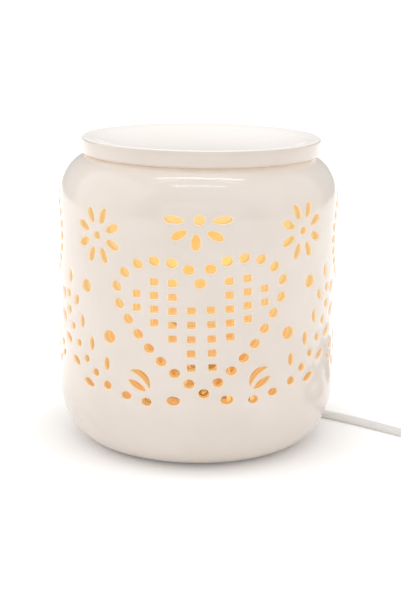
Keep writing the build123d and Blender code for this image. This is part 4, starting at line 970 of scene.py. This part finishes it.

# %% [markdown]
# The dish is a second turned pot: a shallow bowl with an upright rim, and a ring under it that drops
# into the jar's mouth. Light is painted on it as a glow of its own: strong underneath, a line of it
# where the dish sits on the jar, and a wash over the bowl and rim. The wash stands partly for the lamp's
# light through the glaze and partly for the light the open bowl catches from above, with painted shade
# in the bowl's middle. It is stored on the points as the same light that the jar uses.

# %% The oil dish
dish_low, dish_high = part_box("oil_dish")
DISH_X = (dish_low.x + dish_high.x) / 2
DISH_RADIUS = (dish_high.x - dish_low.x) / 2
DISH_TOP = dish_high.z
DISH_SEAT = DISH_TOP - 7.5 * MM
DISH_EDGE = 1.1 * MM
BOWL_RADIUS = DISH_RADIUS - 4.0 * MM
BOWL_DEPTH = 10.6 * MM
DISH_WALL = 4.0 * MM
SPIGOT_OUTER = 43.2 * MM
SPIGOT_INNER = 40.4 * MM
SPIGOT_LOW = dish_low.z
SPIGOT_EDGE = 0.8 * MM
BOWL_SPHERE = (BOWL_RADIUS ** 2 + BOWL_DEPTH ** 2) / (2 * BOWL_DEPTH)
BOWL_CENTRE_Z = DISH_TOP - BOWL_DEPTH + BOWL_SPHERE
UNDER_SPHERE = BOWL_SPHERE + DISH_WALL


def sphere_points(sphere, first, last, count):
    """Profile points on the underside of a large sphere, from one radius to another."""
    radii = [first + (last - first) * k / count for k in range(count + 1)]
    return [(r, BOWL_CENTRE_Z - math.sqrt(sphere ** 2 - r ** 2)) for r in radii]


bowl = sphere_points(BOWL_SPHERE, 0.0, BOWL_RADIUS - 1.2 * MM, 24)
lip = [(BOWL_RADIUS - 0.3 * MM, DISH_TOP - 0.42 * MM), (BOWL_RADIUS + 0.5 * MM, DISH_TOP - 0.12 * MM),
       (BOWL_RADIUS + 1.4 * MM, DISH_TOP)]
rim_top = round_corner((DISH_RADIUS - DISH_EDGE, DISH_TOP - DISH_EDGE), DISH_EDGE, 90, 0, 5)
rim_low = round_corner((DISH_RADIUS - DISH_EDGE, DISH_SEAT + DISH_EDGE), DISH_EDGE, 0, -90, 5)
ring_under = [(SPIGOT_OUTER + CHAMFER, DISH_SEAT), (SPIGOT_OUTER, DISH_SEAT - CHAMFER),
              (SPIGOT_OUTER, SPIGOT_LOW + SPIGOT_EDGE), (SPIGOT_OUTER - SPIGOT_EDGE, SPIGOT_LOW),
              (SPIGOT_INNER + SPIGOT_EDGE, SPIGOT_LOW), (SPIGOT_INNER, SPIGOT_LOW + SPIGOT_EDGE)]
under = sphere_points(UNDER_SPHERE, SPIGOT_INNER, 0.0, 20)
dish_profile = bowl + lip + rim_top + rim_low + ring_under + under
dish = turned_shell("dish", dish_profile)
for vertex in dish.data.vertices:
    vertex.co.x += DISH_X
UNDER_LIGHT = 0.9
# Painted light in the bowl: a wash of glow, with less of it in the middle as painted shade.
BOWL_LIGHT = 0.27
BOWL_SHADE = 0.16
BOWL_SHADE_RADIUS = 30.0 * MM
SEAM_LIGHT = 0.33


def dish_light(point):
    """The light painted on the dish: strong below, a line at the seam, and some in the bowl."""
    radius = math.hypot(point.x - DISH_X, point.y)
    under_z = BOWL_CENTRE_Z - math.sqrt(UNDER_SPHERE ** 2 - min(radius, SPIGOT_INNER) ** 2)
    if point.z < under_z + 0.5 * MM and radius < SPIGOT_INNER + 1 * MM:
        return UNDER_LIGHT
    if point.z < DISH_SEAT + 0.2 * MM and radius > SPIGOT_INNER:
        return SEAM_LIGHT
    if radius < BOWL_RADIUS or point.z > DISH_TOP - 0.2 * DISH_EDGE:
        return BOWL_LIGHT - BOWL_SHADE * math.exp(-(radius / BOWL_SHADE_RADIUS) ** 2)
    return 0.0


store_light(dish.data, [dish_light(v.co) for v in dish.data.vertices])
dish = smooth(joined("dish_glazed", [dish]))
dish_glaze = glazed_ceramic("glazed_dish_stoneware", DISH_BODY, DISH_POOLED, DISH_BOWL_GLOW, LIGHT_IN_DISH)
dish.data.materials.append(dish_glaze)
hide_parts("oil_dish")
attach(dish, "dish")
print("dish", round(2 * DISH_RADIUS / MM, 1), "mm wide, rim at", round(DISH_TOP / MM, 1))

# %% [markdown]
# Plastics are moulded in a steel tool whose fine spark-eroded or polished skin they copy. One recipe
# serves them all, with the grain's real width and depth in millimetres: a coarse grain for the plate
# under the jar, almost none for the switch, and a soft, slightly waxy skin for the cord.


# %% Moulded plastics
FLOW_WIDTH = 14 * MM


def moulded_plastic(name, colour, shade, grain_mm, depth_mm, roughness):
    """A plastic with an even colour, faint flow shading and the grain of its mould."""
    material, tree, shader, place = new_material(name, roughness)
    flow = noise(tree, place, FLOW_WIDTH)
    grain = noise(tree, place, grain_mm * MM)
    tint_and_relief(tree, shader, (colour, shade), flow, grain, depth_mm * MM)
    return material


# Polyamide plate, spark-eroded: dull, with a grain that catches the light.
plate_plastic = moulded_plastic("grained_polyamide", "#D9D6D1", "#D1CEC8", 0.9, 0.05, 0.5)
# Soft rubber feet: matt and slightly grey.
foot_rubber = moulded_plastic("matt_foot_rubber", "#BDBAB4", "#B4B1AB", 0.6, 0.03, 0.75)
# PVC cord sheath: smooth and a little waxy.
cord_pvc = moulded_plastic("extruded_white_pvc", "#FFFEFC", "#FCFAF8", 2.5, 0.02, 0.34)
# Polished ABS switch: clear highlights.
switch_abs = moulded_plastic("polished_white_abs", "#ECECEA", "#E8E8E5", 1.6, 0.008, 0.2)
# Plug: moulded PVC with a fine satin skin.
plug_pvc = moulded_plastic("satin_white_pvc", "#E8E8E6", "#E2E2E0", 0.7, 0.02, 0.42)
# Pin sleeves: the same white as the plug, smoother.
sleeve_nylon = moulded_plastic("smooth_white_nylon", "#E6E6E4", "#DFDFDC", 1.0, 0.01, 0.35)
# Laminated insulating sheet: yellowish and fibrous.
insulating_sheet = moulded_plastic("glass_fibre_laminate", "#CDC7B0", "#B9B294", 0.5, 0.03, 0.5)
# Vulcanised fibre pads: red-brown and leathery.
red_fibre = moulded_plastic("vulcanised_red_fibre", "#8C5B41", "#734633", 0.8, 0.06, 0.65)
# Powder-coated steel sheet: a pale baked plastic skin with a fine orange peel.
coated_sheet = moulded_plastic("powder_coated_sheet", "#E6DFD2", "#DED6C8", 0.9, 0.03, 0.55)
print("plastics", 9)

# %% [markdown]
# Zinc plate on the screws keeps fine lines and has a cloudy sheen, nickel on the pins is smoother and
# warmer, and brass is yellow with small stains. A stretched noise gives the lines, and a slow noise
# clouds the roughness.


# %% Metals
LINE_STRETCH = 0.06
LINE_DEPTH = 0.01 * MM
CLOUD_WIDTH = 6 * MM


def drawn_metal(name, colour, stain, roughness, line_mm, along):
    """A metal with fine lines along one axis and a cloudy sheen."""
    material, tree, shader, place = new_material(name, roughness, metallic=1.0)
    stretch = [LINE_STRETCH if axis == along else 1.0 for axis in "XYZ"]
    lined = add_node(tree, "ShaderNodeMapping", {"Scale": stretch, "Vector": place})
    lines = noise(tree, lined, line_mm * MM, 3.0)
    clouds = noise(tree, place, CLOUD_WIDTH, 3.0)
    tint_and_relief(tree, shader, (colour, stain), clouds, lines, LINE_DEPTH)
    sheen = stretched(tree, clouds, 0.3, 0.7, roughness - 0.06, roughness + 0.1)
    feed(tree, shader, {"Roughness": sheen})
    return material


zinc_screw = drawn_metal("zinc_plated_screw", "#C4C4C0", "#AEAEA8", 0.5, 0.3, "Z")
nickel = drawn_metal("nickel_plated_brass", "#CFCBC2", "#BDB8AC", 0.18, 0.3, "Y")
brass = drawn_metal("rolled_brass", "#D2AE62", "#B88F45", 0.28, 0.4, "Z")
print("metals", 3)

# %% [markdown]
# Steatite is a dense fired ceramic, dry to the eye, with a faint pepper of dark grains. The lamp's
# cap is the same stuff, whiter. The leads wear a braided glass-fibre sleeve, drawn as two sets of
# diagonal threads. The two cores of the cord are brown on one side and blue on the other.


# %% Ceramics, sleeves and cores
def fired_ceramic(name, colour, fleck):
    """Unglazed fired ceramic with small dark grains."""
    material, tree, shader, place = new_material(name, roughness=0.72)
    grains = noise(tree, place, 0.5 * MM, 3.0)
    share = stretched(tree, grains, 0.55, 0.75)
    tint_and_relief(tree, shader, (colour, fleck), share, grains, 0.03 * MM)
    return material


def braided_sleeving():
    """White glass-fibre braid: two sets of threads, each about 0.6 mm wide."""
    material, tree, shader, place = new_material("braided_glass_sleeving", roughness=0.8)
    heights = []
    for tilt in (0.9, -0.9):
        turned = add_node(tree, "ShaderNodeMapping", {"Rotation": (tilt, tilt, 0.0), "Vector": place})
        threads = add_node(tree, "ShaderNodeTexWave",
                           {"Scale": 1 / (12 * MM), "Distortion": 0.3, "Vector": turned})
        heights.append(threads.outputs["Fac"])
    weave = maths(tree, "MAXIMUM", heights[0], heights[1])
    tint_and_relief(tree, shader, ("#B9B3A2", "#E7E2D6"), weave, weave, 0.15 * MM)
    return material


def core_colours():
    """Brown insulation left of the middle, blue right of it."""
    material, tree, shader, place = new_material("cord_core_insulation", roughness=0.4)
    side = add_node(tree, "ShaderNodeSeparateXYZ", {0: place}).outputs["X"]
    share = maths(tree, "GREATER_THAN", side, 0.0)
    soft = noise(tree, place, 3 * MM)
    tint_and_relief(tree, shader, ("#6B4026", "#3F66A8"), share, soft, 0.03 * MM)
    return material


steatite = fired_ceramic("steatite", "#E6E1D6", "#B7AE9C")
cap_ceramic = fired_ceramic("fired_lamp_cap", "#E9E6DE", "#CFC9BC")
glass_sleeving = braided_sleeving()
core_insulation = core_colours()
print("ceramics, sleeve and cores made")

# %% [markdown]
# The reflector is pressed glass with a mirror coat that lets heat through, dimpled like a golf ball so
# that the beam is even. Its front is a clear cover and its source a small halogen capsule. All three
# give off the lamp's own light, at a level that keeps their shapes readable.


# %% The lamp's glass
def lit_glass(name, colour, glow, strength, cell_mm, depth_mm, roughness=0.12):
    """Glass or mirror with a cell pattern in it, giving off a warm light of its own."""
    material, tree, shader, place = new_material(name, roughness)
    cells = add_node(tree, "ShaderNodeTexVoronoi", {"Scale": 1 / (cell_mm * MM), "Vector": place})
    tint = tint_and_relief(tree, shader, (glow, colour), cells, cells, depth_mm * MM)
    feed(tree, shader, {"Emission Color": tint, "Emission Strength": strength})
    return material


reflector_coat = lit_glass("mirror_coated_glass", "#DEC48A", "#EAD49C", 0.3, 4.0, 0.25, roughness=0.5)
cover_glass = lit_glass("ribbed_cover_glass", "#E8CF9C", "#EFDBB2", 0.42, 3.0, 0.2, roughness=0.5)
capsule_quartz = lit_glass("halogen_capsule_quartz", "#FFF3D8", "#FFFFFF", 1.0, 2.0, 0.05)
print("lamp glass made")

# %% [markdown]
# Every other solid of the frame keeps its own shape and only takes a finish.

# %% Finish the frame's own solids
finishes = {
    plate_plastic: ("base_plate", "cord_clamp_base", "cord_clamp_saddle"),
    foot_rubber: ("rubber_feet",),
    coated_sheet: ("retaining_bar", "lamp_bracket"),
    zinc_screw: ("clamp_screws", "clamp_nuts", "holder_screws", "terminal_screws", "saddle_screws",
                 "switch_screws"),
    red_fibre: ("bar_pads",),
    steatite: ("lampholder", "terminal_block"),
    insulating_sheet: ("holder_plate",),
    brass: ("holder_contacts", "terminal_sleeves", "switch_strips"),
    cap_ceramic: ("bulb_cap",),
    nickel: ("bulb_studs", "plug_pins"),
    reflector_coat: ("bulb_reflector",),
    cover_glass: ("bulb_lens",),
    capsule_quartz: ("bulb_capsule",),
    glass_sleeving: ("lamp_leads",),
    core_insulation: ("cord_cores",),
    cord_pvc: ("cord_inside",),
    switch_abs: ("switch_lower_shell", "switch_upper_shell", "switch_rocker"),
    plug_pvc: ("plug_body",),
    sleeve_nylon: ("plug_pin_sleeves",),
}
for material, names in finishes.items():
    for name in names:
        for slot in nodes[name].material_slots:
            slot.material = material
print("solids finished", sum(len(names) for names in finishes.values()))

# %% [markdown]
# Where the cord leaves the wall it passes through a moulded bush. Its flange lies on the curved glaze,
# and its tail tapers and is ringed with ribs, so that the cord bends gently. The smooth body is turned
# round the cord and pressed to the wall's curve. The ribs are placed by Geometry Nodes along the tail.

# %% The bush in the wall
BUSH_SEGMENTS = 64
TAIL_END = 82.0 * MM
TAIL_START = 68.0 * MM
TAIL_ROOT = 4.1 * MM
TAIL_TIP = 3.0 * MM
BORE_RADIUS = 2.02 * MM
BUSH_INSIDE = 53.2 * MM
BUSH_FLANGE_MM = [(4.85, 0.02), (7.3, 0.02), (7.45, 0.3), (7.4, 0.8), (7.0, 1.3), (6.3, 1.55), (5.3, 1.55),
                  (4.75, 1.8)]   # radius, and how far it stands off the glaze


def jar_outer_radius(z):
    """The jar's outside radius at a height below its shoulder."""
    reach, rise = outer_corner
    share = max(0.0, (CORNER_Z - z) / rise)
    return JAR_RADIUS - reach * (1 - math.sqrt(1 - share * share))


def bush_body():
    """Rings round the cord's axis. Each is (radius, lift off the glaze) or (radius, None, y)."""
    sizes = [(BORE_RADIUS, None, BUSH_INSIDE), (4.6 * MM, None, BUSH_INSIDE), (4.85 * MM, None, 53.6 * MM)]
    sizes += [(radius * MM, lift * MM, 0) for radius, lift in BUSH_FLANGE_MM]
    sizes += [(4.35 * MM, None, 66.0 * MM), (TAIL_ROOT, None, TAIL_START),
              (TAIL_TIP, None, TAIL_END - 0.6 * MM), (TAIL_TIP - 0.4 * MM, None, TAIL_END),
              (BORE_RADIUS, None, TAIL_END), (BORE_RADIUS, None, BUSH_INSIDE)]
    rings = []
    for radius, lift, y in sizes:
        rings.append([])
        for k in range(BUSH_SEGMENTS):
            angle = 2 * math.pi * k / BUSH_SEGMENTS
            x, z = radius * math.cos(angle), CORD_HEIGHT + radius * math.sin(angle)
            depth = y if lift is None else math.sqrt(jar_outer_radius(z) ** 2 - x * x) + lift
            rings[-1].append((x, depth, z))
    return ring_skin("bush_body", rings)


def rib_tree(values, material):
    """Rings of one thickness along a line, each as wide as the tail there."""
    tree, given = geometry_tree("ribs_along_tail", values)
    start, end = (add_node(tree, "ShaderNodeCombineXYZ", {"Y": given[place], "Z": given["Height"]})
                  for place in ("First Place", "Last Place"))
    line = add_node(tree, "GeometryNodeMeshLine",
                    {"Count": given["Ribs"], "Start Location": start, "Offset": end}, mode="END_POINTS")
    point = add_node(tree, "GeometryNodeInputPosition")
    along = add_node(tree, "ShaderNodeSeparateXYZ", {0: point}).outputs["Y"]
    width = stretched(tree, along, given["First Place"], given["Last Place"],
                      given["Root Radius"], given["Tip Radius"])
    ring = add_node(tree, "GeometryNodeCurvePrimitiveCircle", {"Resolution": 40, "Radius": 1.0})
    placed_rings = add_node(tree, "GeometryNodeInstanceOnPoints",
                            {"Points": line, "Instance": ring, "Rotation": (math.pi / 2, 0, 0),
                             "Scale": width})
    rings = add_node(tree, "GeometryNodeRealizeInstances", {0: placed_rings})
    section = add_node(tree, "GeometryNodeCurvePrimitiveCircle",
                       {"Resolution": 10, "Radius": given["Rib Thickness"]})
    ribs = add_node(tree, "GeometryNodeCurveToMesh", {"Curve": rings, "Profile Curve": section})
    both = add_node(tree, "GeometryNodeJoinGeometry")
    for geometry in (ribs, given["Geometry"]):
        feed(tree, both, {0: geometry})
    return end_tree(tree, both, material)


bush_values = {"Ribs": 6, "First Place": TAIL_START + 0.8 * MM, "Last Place": TAIL_END - 1.6 * MM,
               "Height": CORD_HEIGHT, "Root Radius": TAIL_ROOT, "Tip Radius": TAIL_TIP,
               "Rib Thickness": 0.45 * MM}
body = joined("bush_closed", [bush_body()], merge=0.001 * MM)
bush = smooth(run_nodes(body, rib_tree(bush_values, cord_pvc), bush_values, "cord_bush"))
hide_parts("cord_grommet")
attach(bush, "lamp_base")
print("bush faces", len(bush.data.polygons))

# %% [markdown]
# The cord leaves the bush, lies on the table to the put-away coil, and goes to the switch and on to the plug.

for cord_piece, stood_for in ((main_cord, ("cord_run", "cord_coil", "cord_link")),
                              (tail_cord, ("cord_tail",))):
    cord_piece.data.materials.append(cord_pvc)
    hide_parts(*stood_for)
    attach(cord_piece, "lamp_base")

# %% [markdown]
# The studio is plain: a pale floor, long narrow softboxes above, which the shoulder mirrors as bright
# lines, a fill in front, and a broad soft wall of light on each side. To the camera and in reflections
# the floor adds a white of its own, little near the jar, so that its shadow stays.


# %% Floor and light
FLOOR_HALF = 3.0                # metres from the middle to an edge
WHITE_FROM, WHITE_TO = 56 * MM, 172 * MM
WORLD_STRENGTH = 0.58
SPILL_RADIUS = 6 * MM
SHOULDER_FRONT = (0, -0.065, 0.12)


def pale_floor():
    """White paper that takes shadows, and gives off white of its own that grows away from the jar."""
    material = bpy.data.materials.new("pale_floor")
    tree = empty_tree(material)
    paint = add_node(tree, "ShaderNodeBsdfDiffuse", {"Color": linear("#F6F5F4")})
    place = add_node(tree, "ShaderNodeTexCoord").outputs["Object"]
    away = add_node(tree, "ShaderNodeVectorMath", {0: place}, operation="LENGTH")
    white = stretched(tree, away, WHITE_FROM, WHITE_TO, 0.1, 1.0)
    lift = add_node(tree, "ShaderNodeEmission", {"Color": linear("#FFFFFF"), "Strength": white})
    path = add_node(tree, "ShaderNodeLightPath").outputs
    seen = path["Is Camera Ray"]
    for other in ("Is Glossy Ray", "Is Transmission Ray"):
        seen = maths(tree, "MAXIMUM", seen, path[other])
    both = add_node(tree, "ShaderNodeAddShader", {0: paint, 1: lift})
    mixed = add_node(tree, "ShaderNodeMixShader", {0: seen, 1: paint, 2: both})
    add_node(tree, "ShaderNodeOutputMaterial", {"Surface": mixed})
    mesh = bpy.data.meshes.new("floor")
    corners = [(FLOOR_HALF * x, FLOOR_HALF * y, 0) for x, y in ((-1, -1), (1, -1), (1, 1), (-1, 1))]
    mesh.from_pydata(corners, [], [(0, 1, 2, 3)])
    mesh.materials.append(material)
    obj = new_object("floor", mesh)


def plain_world(strength):
    """White to the camera and through glass, and a soft even light on everything else."""
    world = bpy.data.worlds.new("studio")
    tree = empty_tree(world)
    path = add_node(tree, "ShaderNodeLightPath").outputs
    seen = maths(tree, "MAXIMUM", path["Is Camera Ray"], path["Is Transmission Ray"])
    level = stretched(tree, seen, 0.0, 1.0, strength, 1.0)
    sky = add_node(tree, "ShaderNodeBackground", {"Color": linear("#FFFFFF"), "Strength": level})
    add_node(tree, "ShaderNodeOutputWorld", {"Surface": sky})
    bpy.context.scene.world = world


def lamp_spill(height, radius, power):
    """The warm light that leaks round the lamp's neck and fills the jar: four points no camera sees."""
    for turn in range(4):
        data = bpy.data.lights.new("lamp_spill", "POINT")
        data.energy = power
        data.shadow_soft_size = SPILL_RADIUS
        data.color = linear("#FFC48A")[:3]
        obj = new_object("lamp_spill", data)
        angle = math.radians(45 + 90 * turn)
        obj.location = (radius * math.cos(angle), radius * math.sin(angle), height)
        obj.visible_camera = False


def softbox(name, place, target, size, power, colour="#FFFFFF"):
    """A rectangular area light that faces a target."""
    data = bpy.data.lights.new(name, "AREA")
    data.shape = "RECTANGLE"
    data.size, data.size_y = size
    data.energy = power
    data.color = linear(colour)[:3]
    facing = (Vector(target) - Vector(place)).to_track_quat("-Z", "Y").to_matrix().to_4x4()
    new_object(name, data).matrix_world = Matrix.Translation(place) @ facing


pale_floor()
plain_world(WORLD_STRENGTH)
for height_mm, radius_mm, power in ((78, 34, 0.006), (22, 40, 0.01), (15, 28, 0.002), (18, 12, 0.001)):
    lamp_spill(height_mm * MM, radius_mm * MM, power)
softbox("over_dish", (0.0, -0.05, 1.1), SHOULDER_FRONT, (0.82, 0.08), 1.2)
softbox("over_front", (0.0, -0.46, 1.0), SHOULDER_FRONT, (0.62, 0.035), 0.45)
for side in (-1, 1):
    softbox("over_end", (0.36 * side, -0.26, 1.06), SHOULDER_FRONT, (0.03, 0.4), 0.12)
softbox("front_fill", (0.0, -1.4, 0.4), (0, 0, 0.06), (1.6, 0.8), 2.3)
softbox("left_wall", (-1.1, -0.1, 0.65), (0, 0, 0.07), (1.6, 1.3), 4.8, "#FFFBF7")
softbox("right_wall", (1.1, -0.1, 0.65), (0, 0, 0.07), (1.6, 1.3), 3.6, "#FFFAF6")
bpy.context.scene.view_settings.view_transform = "Standard"
print("studio made")

# %% [markdown]
# Last, the view layer is brought up to date.

# %% Finish
bpy.context.view_layer.update()
